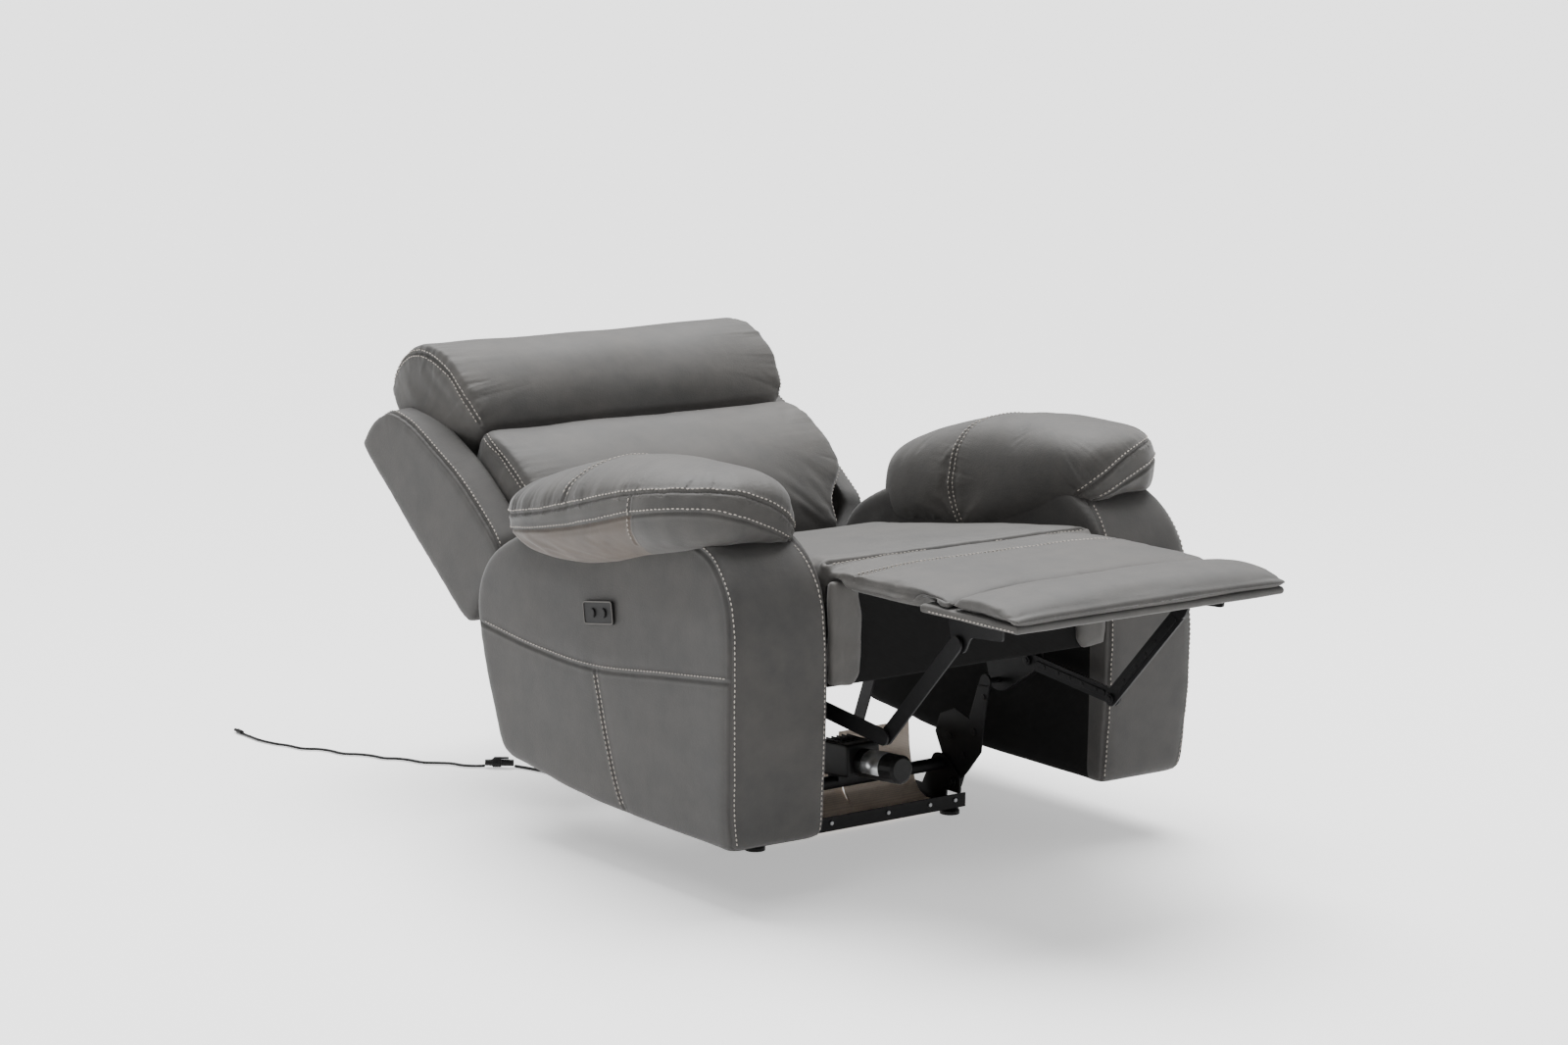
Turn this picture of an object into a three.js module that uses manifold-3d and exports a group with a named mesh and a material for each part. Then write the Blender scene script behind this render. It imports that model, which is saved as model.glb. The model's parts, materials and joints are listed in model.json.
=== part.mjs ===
// Power recliner armchair, modelled reclined with its footrest out.
// Millimetres, +Z up, floor at z = 0. The sitter faces -Y, so the sitter's right arm is at -X.
// Outlines are drawn in the side plane (y, z) and spanned across X. The design frame has y = 0 at
// the arm fronts; the finished chair is moved so that its origin is the middle of its footprint.
import * as THREE from "three";
import { mergeVertices } from "three/addons/utils/BufferGeometryUtils.js";
import Module from "manifold-3d";

const wasm = await Module();
wasm.setup();

// ---- Driving dimensions ----
const MID_Y = 382.4; // from the arm fronts to the middle of the reclined footprint
const GAP = 0.4; // between pieces that touch

// Arms
const SEAT_SPACE = 284; // half the width between the arms
const ARM_THICK = 196;
const ARM_OUTER = SEAT_SPACE + ARM_THICK;
const ARM_BOTTOM = 98;
const ARM_TOP = 587;
const ARM_REAR = 703;
const ARM_BOW = 14; // how far the arm front bows forward
const ARM_EDGE = 26; // rounding of the shell's long edges
const ARM_BOARD = 15; // plywood side panel inside the shell
const ARM_BOARD_IN = 92; // panel's inner face, from the arm's inner face
const PAD_FRONT = 42;
const PAD_REAR = 616;
const PAD_CROWN = 84; // height of the pad above the arm top
const PAD_OVERHANG = 40; // past the arm's outer face
const PAD_EDGE = 26;

// Control panel in the outer face of the right arm
const PANEL = { y: 337, z: 418, length: 82, height: 38, lip: 2.5, depth: 13, tilt: 9 };
const BUTTON_RADIUS = 7.6;
const BUTTON_SPACING = 30;
const BUTTON_PROUD = 2.2;
const BUTTON_LENGTH = 9;
const BUTTON_CLEARANCE = 0.3;

// Seat
const SIDE_CLEARANCE = 8; // between the arms and what moves between them
const SEAT_HALF = SEAT_SPACE - SIDE_CLEARANCE;
const SEAT_FRONT = 18;
const SEAT_REAR = 600;
const SEAT_TOP = 528;
const SEAT_DROP = 85; // fall of the seat top from front to rear
const SEAT_THICK = 100;
const RAIL_THICK = 18;
const RAIL_HEIGHT = 50;
const RAIL_OUT = SEAT_SPACE - 4; // outer face of the seat side rails
const SPRING_WIRE = 2.2; // radius
const SPRING_ROWS = 4;
const SPRING_LOOPS = 6;
const SPRING_SWING = 17;
const CHAISE_BOTTOM = SEAT_TOP - 21;
const FRONT_PANEL = { thick: 13, bottom: 334, top: CHAISE_BOTTOM - 13 };

// Footrest
const FOLD = { y: -2, z: CHAISE_BOTTOM - 4 }; // axis the footrest folds about
const CHAISE_END = -281;
const FOOT_END = -434;
const FOOT_HALF = SEAT_SPACE - SIDE_CLEARANCE;
const CHAISE_THICK = 23;
const LIP_RISE = 9; // lip pad above the chaise pad
const BOARD_START = -216;
const BOARD_THICK = 14;

// Back, drawn in its own frame: v up along the recline, w forward from its rear face
const RECLINE = 37.2; // degrees of the back above level
const BACK_FOOT = { y: 858, z: 295 }; // lower rear corner of the wings
const BACK_HINGE = { y: 674, z: 352 };
const WING_OUT = SEAT_SPACE + 111;
const WING_THICK = 60;
const WING_LENGTH = 434;
const WING_DEPTH = 179;
const BACK_PANEL_THICK = 6;
const BACK_PANEL_TAIL = 60; // rear panel below the wings
const CUSHION_BACK = 58;
const LUMBAR = { low: -46, high: 246, depth: 232, waist: 62, tongue: SEAT_SPACE - 44 };
const HEAD = { low: 250, high: 478, depth: 222 };
const TOP_RAIL_HEIGHT = 44;

// Mechanism, all in steel strip and tube
const STRIP = 4;
const TUBE_RADIUS = 11;
const PIN_RADIUS = 5;
const PIN_CLEARANCE = 0.3;
const LINK_WIDTH = 26;
const PLATE_IN = SEAT_SPACE - 38; // inner face of the carriage side plates
const REAR_LINK_IN = PLATE_IN - STRIP - 4;
const FRONT_LINK_IN = REAR_LINK_IN - STRIP - 4;
const FOOT_BRACKET_IN = FRONT_LINK_IN - STRIP - 4;
const SWING_IN = FOOT_BRACKET_IN - STRIP - 1;
const EAR_IN = SWING_IN - STRIP - 3;
const POST = { inner: PLATE_IN + 2 * STRIP + 2.5, width: 40, from: 12, depth: 40, low: -66, high: 408 };
const LINK_ROOT = { y: 130, z: 290 };
const KNEE = { y: -84, z: 267 };
const FOOT_PIN = { y: -245, z: CHAISE_BOTTOM - 66 };
const SWING_FOOT = { y: 283, z: 55 };
const SWING_HEAD = { y: 213, z: 240 };
const SWING_PITCH = 290; // from the front swing links to the rear ones
const FRONT_TUBE = { y: 175, z: 318 };
const DRIVE_TUBE = { y: 470, z: 318 };

// Floor frame
const BASE_HALF = EAR_IN + STRIP + 14;
const BASE_FRONT = 270;
const BASE_REAR = 640;
const FOOT_HEIGHT = 12;
const FOOT_RADIUS = 17;
const FOOT_INSET = 22; // from the frame's ends to the foot's centre
const RAIL = { height: 24, width: 30, wall: 3 };
const BASE_TUBE = { y: 317, z: 80 };

// Actuator, drawn along its own axis
const ACTUATOR = { y: 300, z: 118, pitch: -4.9 };
const MOTOR = { radius: 24, from: -140, to: -40 };
const GEARBOX = { half: 34, from: -39.6, to: 48, low: -22, high: 34 };
const SCREW = { radius: 6, to: 345 };
const DRIVE_AT = 170; // nut's place along the axis at rest
const NUT = { half: 20, length: 26, height: 28 };

// Beige cloth lining behind the front rail
const LINING = { thick: 3, from: 300.5, to: 392, low: 15.5, high: 76, tall: 142, half: EAR_IN - 12, split: 48 };

// Leads
const LEAD_RADIUS = 2.75;
const LEAD_LIE = 3; // centre height of a lead on the floor
const CONNECTOR_RADIUS = 8;

// ---- Finishes ----
const finish = (color, roughness, metalness = 0) =>
  new THREE.MeshStandardMaterial({ color, roughness, metalness });
const grey = finish(0x5c5a58, 0.72);
const greySide = finish(0x555351, 0.75);
const blackSteel = finish(0x121212, 0.5, 0.6);
const zinc = finish(0x8c8f92, 0.4, 0.8);
const blackCloth = finish(0x151515, 0.95);
const beigeCloth = finish(0xb49c86, 0.9);
const plywood = finish(0xb08d5e, 0.8);
const blackPlastic = finish(0x161616, 0.45);

// ---- Shape helpers ----
const SIDE_PLANE = new THREE.Matrix4().makeBasis(
  new THREE.Vector3(0, 1, 0),
  new THREE.Vector3(0, 0, 1),
  new THREE.Vector3(1, 0, 0),
);

// A closed outline through the corners, each rounded by up to its radius.
function outline(corners, radius = 0) {
  const shape = new THREE.Shape();
  const points = corners.map(([y, z]) => new THREE.Vector2(y, z));
  points.forEach((corner, i) => {
    const before = points[(i + points.length - 1) % points.length];
    const after = points[(i + 1) % points.length];
    const size = corners[i][2] ?? radius;
    const cut = Math.min(size, corner.distanceTo(before) / 2.1, corner.distanceTo(after) / 2.1);
    const from = corner.clone().lerp(before, cut / corner.distanceTo(before));
    const to = corner.clone().lerp(after, cut / corner.distanceTo(after));
    if (i) shape.lineTo(from.x, from.y);
    else shape.moveTo(from.x, from.y);
    if (cut > 0) shape.quadraticCurveTo(corner.x, corner.y, to.x, to.y);
  });
  shape.closePath();
  return shape;
}

// A side-plane outline spanned from one x to another, its long edges rounded by the bevel.
function span(shape, x0, x1, bevel = 0, curveSegments = 3) {
  const low = Math.min(x0, x1);
  const depth = Math.abs(x1 - x0) - 2 * bevel;
  const options = { depth, steps: 1, curveSegments, bevelEnabled: bevel > 0 };
  Object.assign(options, { bevelThickness: bevel, bevelSize: bevel, bevelOffset: -bevel });
  options.bevelSegments = 3;
  const geometry = new THREE.ExtrudeGeometry(shape, options);
  return geometry.applyMatrix4(SIDE_PLANE).translate(low + bevel, 0, 0);
}

// The same for a piece on one side of the chair: distances from the middle, side +1 or -1.
const spanSide = (shape, side, near, far, bevel, curveSegments) =>
  span(shape, side * near, side * far, bevel, curveSegments);

const box = (x0, x1, y0, y1, z0, z1) =>
  new THREE.BoxGeometry(Math.abs(x1 - x0), y1 - y0, z1 - z0).translate(
    (x0 + x1) / 2,
    (y0 + y1) / 2,
    (z0 + z1) / 2,
  );

// A cylinder along X, centred on a side-plane point.
const barX = (radius, x0, x1, at, sides = 16) =>
  new THREE.CylinderGeometry(radius, radius, Math.abs(x1 - x0), sides)
    .rotateZ(Math.PI / 2)
    .translate((x0 + x1) / 2, at.y, at.z);

// A solid for joining and cutting, and back again.
function solid(geometry) {
  const bare = geometry.index ? geometry.toNonIndexed() : geometry.clone();
  bare.deleteAttribute("normal");
  bare.deleteAttribute("uv");
  const merged = mergeVertices(bare, 1e-3);
  const vertProperties = merged.attributes.position.array;
  const triVerts = new Uint32Array(merged.index.array);
  return new wasm.Manifold(new wasm.Mesh({ numProp: 3, vertProperties, triVerts }));
}

function geometryOf(manifold) {
  const made = manifold.getMesh();
  const geometry = new THREE.BufferGeometry();
  geometry.setAttribute("position", new THREE.BufferAttribute(made.vertProperties, 3));
  geometry.setIndex(new THREE.BufferAttribute(made.triVerts, 1));
  const flat = geometry.toNonIndexed();
  flat.computeVertexNormals();
  return flat;
}

const join = (first, ...rest) =>
  geometryOf(rest.reduce((sum, g) => sum.add(solid(g)), solid(first)));
const cut = (first, ...rest) =>
  geometryOf(rest.reduce((sum, g) => sum.subtract(solid(g)), solid(first)));

function piece(name, geometry, material) {
  const mesh = new THREE.Mesh(geometry, material);
  mesh.name = name;
  return mesh;
}

function group(...children) {
  const made = new THREE.Group();
  made.add(...children.flat());
  return made;
}

const SIDES = [
  { name: "right", side: -1 },
  { name: "left", side: 1 },
];
const eachSide = (make) => SIDES.flatMap(({ name, side }) => make(name, side));

// A flat link between two side-plane points, with round ends.
function linkOutline(from, to, width) {
  const along = new THREE.Vector2(to.y - from.y, to.z - from.z);
  const angle = along.angle();
  const shape = new THREE.Shape();
  shape.absarc(from.y, from.z, width / 2, angle + Math.PI / 2, angle + 1.5 * Math.PI, false);
  shape.absarc(to.y, to.z, width / 2, angle - Math.PI / 2, angle + Math.PI / 2, false);
  shape.closePath();
  return shape;
}

function drill(shape, at, radius) {
  shape.holes.push(new THREE.Path().absarc(at.y, at.z, radius, 0, 2 * Math.PI, true));
  return shape;
}

// Heights of the seat cushion, which falls towards the back.
const seatSlope = SEAT_DROP / (SEAT_REAR - SEAT_FRONT);
const seatTopAt = (y) => SEAT_TOP - seatSlope * (y - SEAT_FRONT);
const seatUnderAt = (y) => seatTopAt(y) - SEAT_THICK;

const shifted = (at, y) => ({ y: at.y + y, z: at.z });

// ---- Floor frame ----
const railTop = FOOT_HEIGHT + RAIL.height;

// An angle section across the chair: its upright wall faces outwards.
function crossRail(name, outerY, facing) {
  const inner = outerY - facing * RAIL.width;
  const wall = outerY - facing * RAIL.wall;
  const floor = FOOT_HEIGHT + RAIL.wall;
  const corners = [
    [outerY, FOOT_HEIGHT],
    [outerY, railTop],
    [wall, railTop],
    [wall, floor],
    [inner, floor],
    [inner, FOOT_HEIGHT],
  ];
  if (facing > 0) corners.reverse();
  return piece(name, span(outline(corners), -BASE_HALF, BASE_HALF), blackSteel);
}

// A side rail with an ear at each swing link, and the pins that the links turn on.
function sideRail(name, side) {
  const front = BASE_FRONT + RAIL.width + 1;
  const rear = BASE_REAR - RAIL.width - 1;
  const clear = railTop + 1;
  const tubeTop = BASE_TUBE.z + TUBE_RADIUS + 6;
  const rearPin = shifted(SWING_FOOT, SWING_PITCH);
  const web = outline(
    [
      [front, FOOT_HEIGHT],
      [rear, FOOT_HEIGHT],
      [rear, rearPin.z + 8, 8],
      [rearPin.y + 10, rearPin.z + 20, 10],
      [rearPin.y - 16, rearPin.z + 20, 12],
      [rearPin.y - 46, railTop],
      [BASE_TUBE.y + 48, railTop],
      [BASE_TUBE.y + 18, tubeTop, 10],
      [BASE_TUBE.y - 14, tubeTop, 10],
      [SWING_FOOT.y - 18, SWING_FOOT.z + 12, 10],
      [SWING_FOOT.y - 18, clear, 4],
      [front, clear],
    ],
    0,
  );
  const pins = [SWING_FOOT, rearPin].map((at) =>
    barX(PIN_RADIUS, side * EAR_IN, side * (SWING_IN + STRIP + 2), at, 12),
  );
  const flange = box(side * (EAR_IN - 20), side * EAR_IN, front, rear, FOOT_HEIGHT, FOOT_HEIGHT + 3);
  return piece(
    `base_side_rail_${name}`,
    join(spanSide(web, side, EAR_IN, EAR_IN + STRIP), flange, ...pins),
    blackSteel,
  );
}

function glideFoot(name, side, y) {
  const foot = new THREE.LatheGeometry(
    [
      [0, 0],
      [FOOT_RADIUS, 0],
      [FOOT_RADIUS, 6],
      [FOOT_RADIUS - 4, FOOT_HEIGHT - GAP],
      [0, FOOT_HEIGHT - GAP],
    ].map(([r, h]) => new THREE.Vector2(r, h)),
    16,
  ).rotateX(Math.PI / 2);
  return piece(name, foot.translate(side * (BASE_HALF - FOOT_INSET), y, 0), blackPlastic);
}

// Cross tube between the front ears, with the saddle that the actuator sits on.
function baseTube() {
  const end = EAR_IN - GAP;
  const tube = barX(TUBE_RADIUS, -end, end, BASE_TUBE);
  const top = ACTUATOR.z + GEARBOX.low - 3.5;
  const saddle = box(-22, 22, BASE_TUBE.y - 16, BASE_TUBE.y + 12, BASE_TUBE.z + 4, top);
  return piece("base_cross_tube", join(tube, saddle), blackSteel);
}

// Cloth lining: it rises from the front rail, and taller on the sitter's left.
function lining() {
  const sheet = (height) => {
    const { from, to, low, thick } = LINING;
    const shape = new THREE.Shape();
    shape.moveTo(from, low);
    shape.lineTo(from + 40, low);
    shape.quadraticCurveTo(to - 4, low + 4, to, height);
    shape.lineTo(to - thick, height);
    shape.quadraticCurveTo(to - 8, low + 10, from + 38, low + thick);
    shape.lineTo(from, low + thick);
    shape.closePath();
    return shape;
  };
  const low = span(sheet(LINING.high), -LINING.half, LINING.split + 1, 0, 5);
  const tall = span(sheet(LINING.tall), LINING.split, LINING.half, 0, 5);
  return piece("base_lining", join(low, tall), beigeCloth);
}

function floorFrame() {
  const footRows = [
    ["front", BASE_FRONT + RAIL.width / 2],
    ["rear", BASE_REAR - RAIL.width / 2],
  ];
  return group(
    crossRail("base_front_rail", BASE_FRONT, -1),
    crossRail("base_rear_rail", BASE_REAR, 1),
    eachSide((name, side) => [
      sideRail(name, side),
      ...footRows.map(([row, y]) => glideFoot(`glide_foot_${row}_${name}`, side, y)),
    ]),
    baseTube(),
    lining(),
  );
}

// ---- Actuator ----
function actuator() {
  const along = (g) => g.translate(0, 0, 0);
  const motor = new THREE.LatheGeometry(
    [
      [0, MOTOR.from],
      [MOTOR.radius - 5, MOTOR.from],
      [MOTOR.radius, MOTOR.from + 5],
      [MOTOR.radius, MOTOR.to],
      [0, MOTOR.to],
    ].map(([r, h]) => new THREE.Vector2(r, h)),
    20,
  );
  const housing = outline(
    [
      [GEARBOX.from, GEARBOX.low],
      [GEARBOX.to, GEARBOX.low],
      [GEARBOX.to, GEARBOX.high],
      [GEARBOX.from, GEARBOX.high],
    ],
    8,
  );
  const bore = SCREW.radius + PIN_CLEARANCE;
  const nut = box(-NUT.half, NUT.half, -NUT.length / 2, NUT.length / 2, -14, NUT.height - 14);
  const hole = new THREE.CylinderGeometry(bore, bore, NUT.length + 4, 16);
  const pin = barX(PIN_RADIUS, -NUT.half - 12, NUT.half + 12, { y: 0, z: -8.5 }, 12);
  const nutWithPin = cut(join(nut, pin), hole).translate(0, DRIVE_AT, 0);
  const screwLength = SCREW.to - GEARBOX.to - GAP;
  const screw = new THREE.CylinderGeometry(SCREW.radius, SCREW.radius, screwLength, 14);
  const made = group(
    piece("motor", along(motor), blackPlastic),
    piece("gearbox", span(housing, -GEARBOX.half, GEARBOX.half, 4), blackPlastic),
    piece("lead_screw", screw.translate(0, SCREW.to - screwLength / 2, 0), zinc),
    piece("drive_nut", nutWithPin, blackPlastic),
  );
  made.position.set(0, ACTUATOR.y, ACTUATOR.z);
  made.rotation.x = THREE.MathUtils.degToRad(ACTUATOR.pitch);
  return made;
}

// ---- Carriage: what glides on the floor frame ----
function swingLink(row, name, side) {
  const offset = row === "rear" ? SWING_PITCH : 0;
  const foot = shifted(SWING_FOOT, offset);
  const shape = drill(
    linkOutline(foot, shifted(SWING_HEAD, offset), LINK_WIDTH),
    foot,
    PIN_RADIUS + PIN_CLEARANCE,
  );
  return piece(
    `swing_link_${row}_${name}`,
    spanSide(shape, side, SWING_IN, SWING_IN + STRIP, 0, 6),
    blackSteel,
  );
}

function sidePlate(name, side) {
  const head = SWING_HEAD;
  const rearHead = shifted(head, SWING_PITCH);
  const shape = outline(
    [
      [LINK_ROOT.y - 26, LINK_ROOT.z + 44, 10],
      [LINK_ROOT.y - 26, LINK_ROOT.z - 6, 12],
      [LINK_ROOT.y, LINK_ROOT.z - 24, 12],
      [head.y - 14, head.z - 18, 12],
      [head.y + 16, head.z - 18, 12],
      [head.y + 40, LINK_ROOT.z - 4, 10],
      [rearHead.y - 40, LINK_ROOT.z - 4, 10],
      [rearHead.y - 16, rearHead.z - 18, 12],
      [rearHead.y + 16, rearHead.z - 18, 12],
      [rearHead.y + 42, LINK_ROOT.z, 10],
      [BACK_HINGE.y + 4, BACK_HINGE.z - 34, 16],
      [BACK_HINGE.y + 24, BACK_HINGE.z, 16],
      [BACK_HINGE.y + 4, BACK_HINGE.z + 24, 16],
      [BACK_HINGE.y - 30, BACK_HINGE.z - 14, 10],
      [SEAT_REAR + 6, seatUnderAt(SEAT_REAR) - 11, 4],
      [rearHead.y + 40, seatUnderAt(rearHead.y + 40) - 33, 10],
    ],
    0,
  );
  const out = PLATE_IN + STRIP;
  const swingPins = [head, rearHead].map((at) =>
    barX(PIN_RADIUS, side * (SWING_IN + STRIP + 1), side * out, at, 12),
  );
  const rootPin = barX(PIN_RADIUS, side * (REAR_LINK_IN - 2), side * out, LINK_ROOT, 12);
  const hingePin = barX(PIN_RADIUS + 1, side * PLATE_IN, side * (out + 7.5), BACK_HINGE, 12);
  const plate = spanSide(shape, side, PLATE_IN, out);
  return piece(`side_plate_${name}`, join(plate, ...swingPins, rootPin, hingePin), blackSteel);
}

function frontTube() {
  const end = PLATE_IN - GAP;
  return piece("carriage_front_tube", barX(TUBE_RADIUS, -end, end, FRONT_TUBE), blackSteel);
}

// Cross tube with two slotted lugs that hang down over the drive nut's pin.
function driveTube() {
  const end = PLATE_IN - GAP;
  const tube = barX(TUBE_RADIUS, -end, end, DRIVE_TUBE);
  const near = NUT.half + 3;
  const lugs = [-1, 1].map((side) => {
    const shape = outline(
      [
        [DRIVE_TUBE.y - 15, DRIVE_TUBE.z],
        [DRIVE_TUBE.y - 15, 62, 10],
        [DRIVE_TUBE.y + 15, 62, 10],
        [DRIVE_TUBE.y + 15, DRIVE_TUBE.z],
      ],
      0,
    );
    const slot = [
      [DRIVE_TUBE.y - 7, 72, 6],
      [DRIVE_TUBE.y + 7, 72, 6],
      [DRIVE_TUBE.y + 7, 108, 6],
      [DRIVE_TUBE.y - 7, 108, 6],
    ];
    shape.holes.push(outline(slot));
    return spanSide(shape, side, near, near + STRIP);
  });
  return piece("carriage_drive_tube", join(tube, ...lugs), blackSteel);
}

function carriage() {
  return group(
    eachSide((name, side) => [
      swingLink("front", name, side),
      swingLink("rear", name, side),
      sidePlate(name, side),
    ]),
    frontTube(),
    driveTube(),
  );
}

// ---- Arms ----
function armOutline(rise = 0) {
  const shape = new THREE.Shape();
  const top = ARM_TOP + rise;
  shape.moveTo(0, ARM_BOTTOM);
  shape.lineTo(ARM_REAR - 400, ARM_BOTTOM);
  shape.lineTo(ARM_REAR - 103, ARM_BOTTOM + 25);
  shape.quadraticCurveTo(ARM_REAR - 68, ARM_BOTTOM + 28, ARM_REAR - 60, ARM_BOTTOM + 66);
  shape.lineTo(ARM_REAR - 46, ARM_BOTTOM + 130);
  shape.quadraticCurveTo(ARM_REAR - 4, top - 250, ARM_REAR, top - 190);
  shape.quadraticCurveTo(ARM_REAR - 4, top - 118, ARM_REAR - 96, top - 84);
  shape.bezierCurveTo(ARM_REAR - 230, top - 38, ARM_REAR - 350, top, 190, top);
  shape.quadraticCurveTo(46, top, 12, top - 106);
  shape.quadraticCurveTo(-2 * ARM_BOW, ARM_BOTTOM + 245, 0, ARM_BOTTOM);
  return shape;
}

// The plywood panel's outline, or with no gap the slot that it stands in.
function boardOutline(gap) {
  const low = gap ? ARM_BOTTOM + 30 : ARM_BOTTOM - 20;
  return outline([
    [32 + gap, low],
    [26 + gap, ARM_TOP - 180],
    [92 + gap, ARM_TOP - 66 - gap],
    [ARM_REAR - 380, ARM_TOP - 66 - gap],
    [ARM_REAR - 150, ARM_TOP - 120 - gap],
    [ARM_REAR - 58 - gap, ARM_TOP - 210],
    [ARM_REAR - 108 - gap, ARM_BOTTOM + 50],
    [ARM_REAR - 112 - gap, low],
  ].reverse());
}

const panelTurn = THREE.MathUtils.degToRad(-PANEL.tilt);
// Turns a shape drawn round the control panel's centre onto the arm.
const onPanel = (geometry) =>
  geometry.rotateX(panelTurn).translate(-ARM_OUTER, PANEL.y, PANEL.z);

function panelPocket() {
  const half = PANEL.length / 2 - 3;
  const tall = PANEL.height / 2 - 3;
  return onPanel(box(-5, PANEL.depth + 1, -half, half, -tall, tall));
}

function armShell(name, side) {
  const inner = ARM_OUTER - ARM_THICK;
  const body = spanSide(armOutline(), side, inner, ARM_OUTER, ARM_EDGE, 5);
  const slotIn = inner + ARM_BOARD_IN;
  const slot = spanSide(boardOutline(0), side, slotIn, slotIn + ARM_BOARD + 2 * GAP);
  const cuts = side < 0 ? [slot, panelPocket()] : [slot];
  return piece(`arm_shell_${name}`, cut(body, ...cuts), greySide);
}

function armBoard(name, side) {
  const near = ARM_OUTER - ARM_THICK + ARM_BOARD_IN + GAP;
  const board = spanSide(boardOutline(1), side, near, near + ARM_BOARD);
  return piece(`arm_board_${name}`, board, plywood);
}

function armPad(name, side) {
  const inner = ARM_OUTER - ARM_THICK;
  const crown = ARM_TOP + PAD_CROWN;
  const shape = new THREE.Shape();
  shape.moveTo(PAD_FRONT + 30, ARM_TOP - 42);
  shape.lineTo(PAD_FRONT + 300, ARM_TOP - 90);
  shape.quadraticCurveTo(PAD_REAR - 100, ARM_TOP - 112, PAD_REAR - 40, ARM_TOP - 92);
  shape.quadraticCurveTo(PAD_REAR, ARM_TOP - 74, PAD_REAR, ARM_TOP - 40);
  shape.quadraticCurveTo(PAD_REAR - 20, ARM_TOP + 22, PAD_REAR - 200, crown - 22);
  shape.quadraticCurveTo(PAD_FRONT + 150, crown + 26, PAD_FRONT + 40, crown - 44);
  shape.quadraticCurveTo(PAD_FRONT - 16, ARM_TOP + 8, PAD_FRONT + 30, ARM_TOP - 42);
  const pillow = spanSide(shape, side, inner + 2, ARM_OUTER + PAD_OVERHANG, PAD_EDGE, 5);
  const arm = spanSide(armOutline(1), side, inner - 1, ARM_OUTER + 1, 0, 5);
  return piece(`arm_pad_${name}`, cut(pillow, arm), grey);
}

// ---- Control panel ----
function controlPanel() {
  const { length, height, lip, depth } = PANEL;
  const face = outline(
    [
      [-length / 2, -height / 2],
      [length / 2, -height / 2],
      [length / 2, height / 2],
      [-length / 2, height / 2],
    ],
    5,
  );
  const body = box(-0.5, depth, -length / 2 + 3.5, length / 2 - 3.5, -height / 2 + 3.5, height / 2 - 3.5);
  const bore = BUTTON_RADIUS + BUTTON_CLEARANCE;
  const bores = [-1, 1].map((i) =>
    barX(bore, -lip - 5, depth + 5, { y: (i * BUTTON_SPACING) / 2, z: 0 }, 24),
  );
  const plate = join(span(face, -lip, -GAP), body);
  return piece("control_panel", onPanel(cut(plate, ...bores)), blackPlastic);
}

function button(name, place) {
  const at = { y: (place * BUTTON_SPACING) / 2, z: 0 };
  const outer = -PANEL.lip - BUTTON_PROUD;
  return piece(name, onPanel(barX(BUTTON_RADIUS, outer, outer + BUTTON_LENGTH, at, 24)), blackPlastic);
}

function arms() {
  return group(
    eachSide((name, side) => [armShell(name, side), armBoard(name, side), armPad(name, side)]),
    controlPanel(),
    button("recline_button", 1),
    button("upright_button", -1),
  );
}

// ---- Seat ----
function seatCushion() {
  const shape = outline(
    [
      [SEAT_FRONT, seatUnderAt(SEAT_FRONT), 18],
      [SEAT_REAR, seatUnderAt(SEAT_REAR), 18],
      [SEAT_REAR, seatTopAt(SEAT_REAR), 40],
      [SEAT_FRONT, SEAT_TOP, 24],
    ],
    0,
  );
  return piece("seat_cushion", span(shape, -SEAT_HALF, SEAT_HALF, 10, 4), grey);
}

function seatRail(name, side) {
  const top = (y) => seatUnderAt(y) - 2;
  const corners = [
    [SEAT_FRONT + 2, top(SEAT_FRONT) - RAIL_HEIGHT],
    [SEAT_REAR - 8, top(SEAT_REAR) - RAIL_HEIGHT],
    [SEAT_REAR - 8, top(SEAT_REAR)],
    [SEAT_FRONT + 2, top(SEAT_FRONT)],
  ];
  const rail = spanSide(outline(corners), side, RAIL_OUT - RAIL_THICK, RAIL_OUT);
  return piece(`seat_rail_${name}`, rail, plywood);
}

// Sinuous springs from rail to rail, tied by two wires.
function seatSprings() {
  const reach = RAIL_OUT - RAIL_THICK - 1;
  const ring = new THREE.Shape().absarc(0, 0, SPRING_WIRE, 0, 2 * Math.PI);
  const wire = (points, steps) =>
    new THREE.ExtrudeGeometry(ring, {
      extrudePath: new THREE.CatmullRomCurve3(points),
      steps,
      curveSegments: 3,
      bevelEnabled: false,
    });
  const height = (y) => seatUnderAt(y) - 10;
  const rows = [];
  const half = SPRING_LOOPS;
  for (let row = 0; row < SPRING_ROWS; row += 1) {
    const y = SEAT_FRONT + 90 + (row * (SEAT_REAR - SEAT_FRONT - 200)) / (SPRING_ROWS - 1);
    const points = [];
    for (let i = -half; i <= half; i += 1) {
      const swing = Math.abs(i) === half ? 0 : i % 2 ? SPRING_SWING : -SPRING_SWING;
      points.push(new THREE.Vector3((i * reach) / half, y + swing, height(y + swing)));
    }
    rows.push(wire(points, 4 * SPRING_LOOPS));
  }
  const from = SEAT_FRONT + 60;
  const to = SEAT_REAR - 80;
  const ties = [-1, 1].map((side) => {
    const end = (y) => new THREE.Vector3((side * reach) / 3 + 4, y, height(y));
    return wire([end(from), end(to)], 1);
  });
  return piece("seat_springs", join(...rows, ...ties), zinc);
}

// Upholstered front of the seat box, under the chaise pad.
function seatFrontPanel() {
  const { thick, bottom, top } = FRONT_PANEL;
  const corners = [
    [0, bottom],
    [thick, bottom],
    [thick, top],
    [0, top],
  ];
  return piece("seat_front_panel", span(outline(corners, 5), -RAIL_OUT, RAIL_OUT), blackCloth);
}

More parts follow.
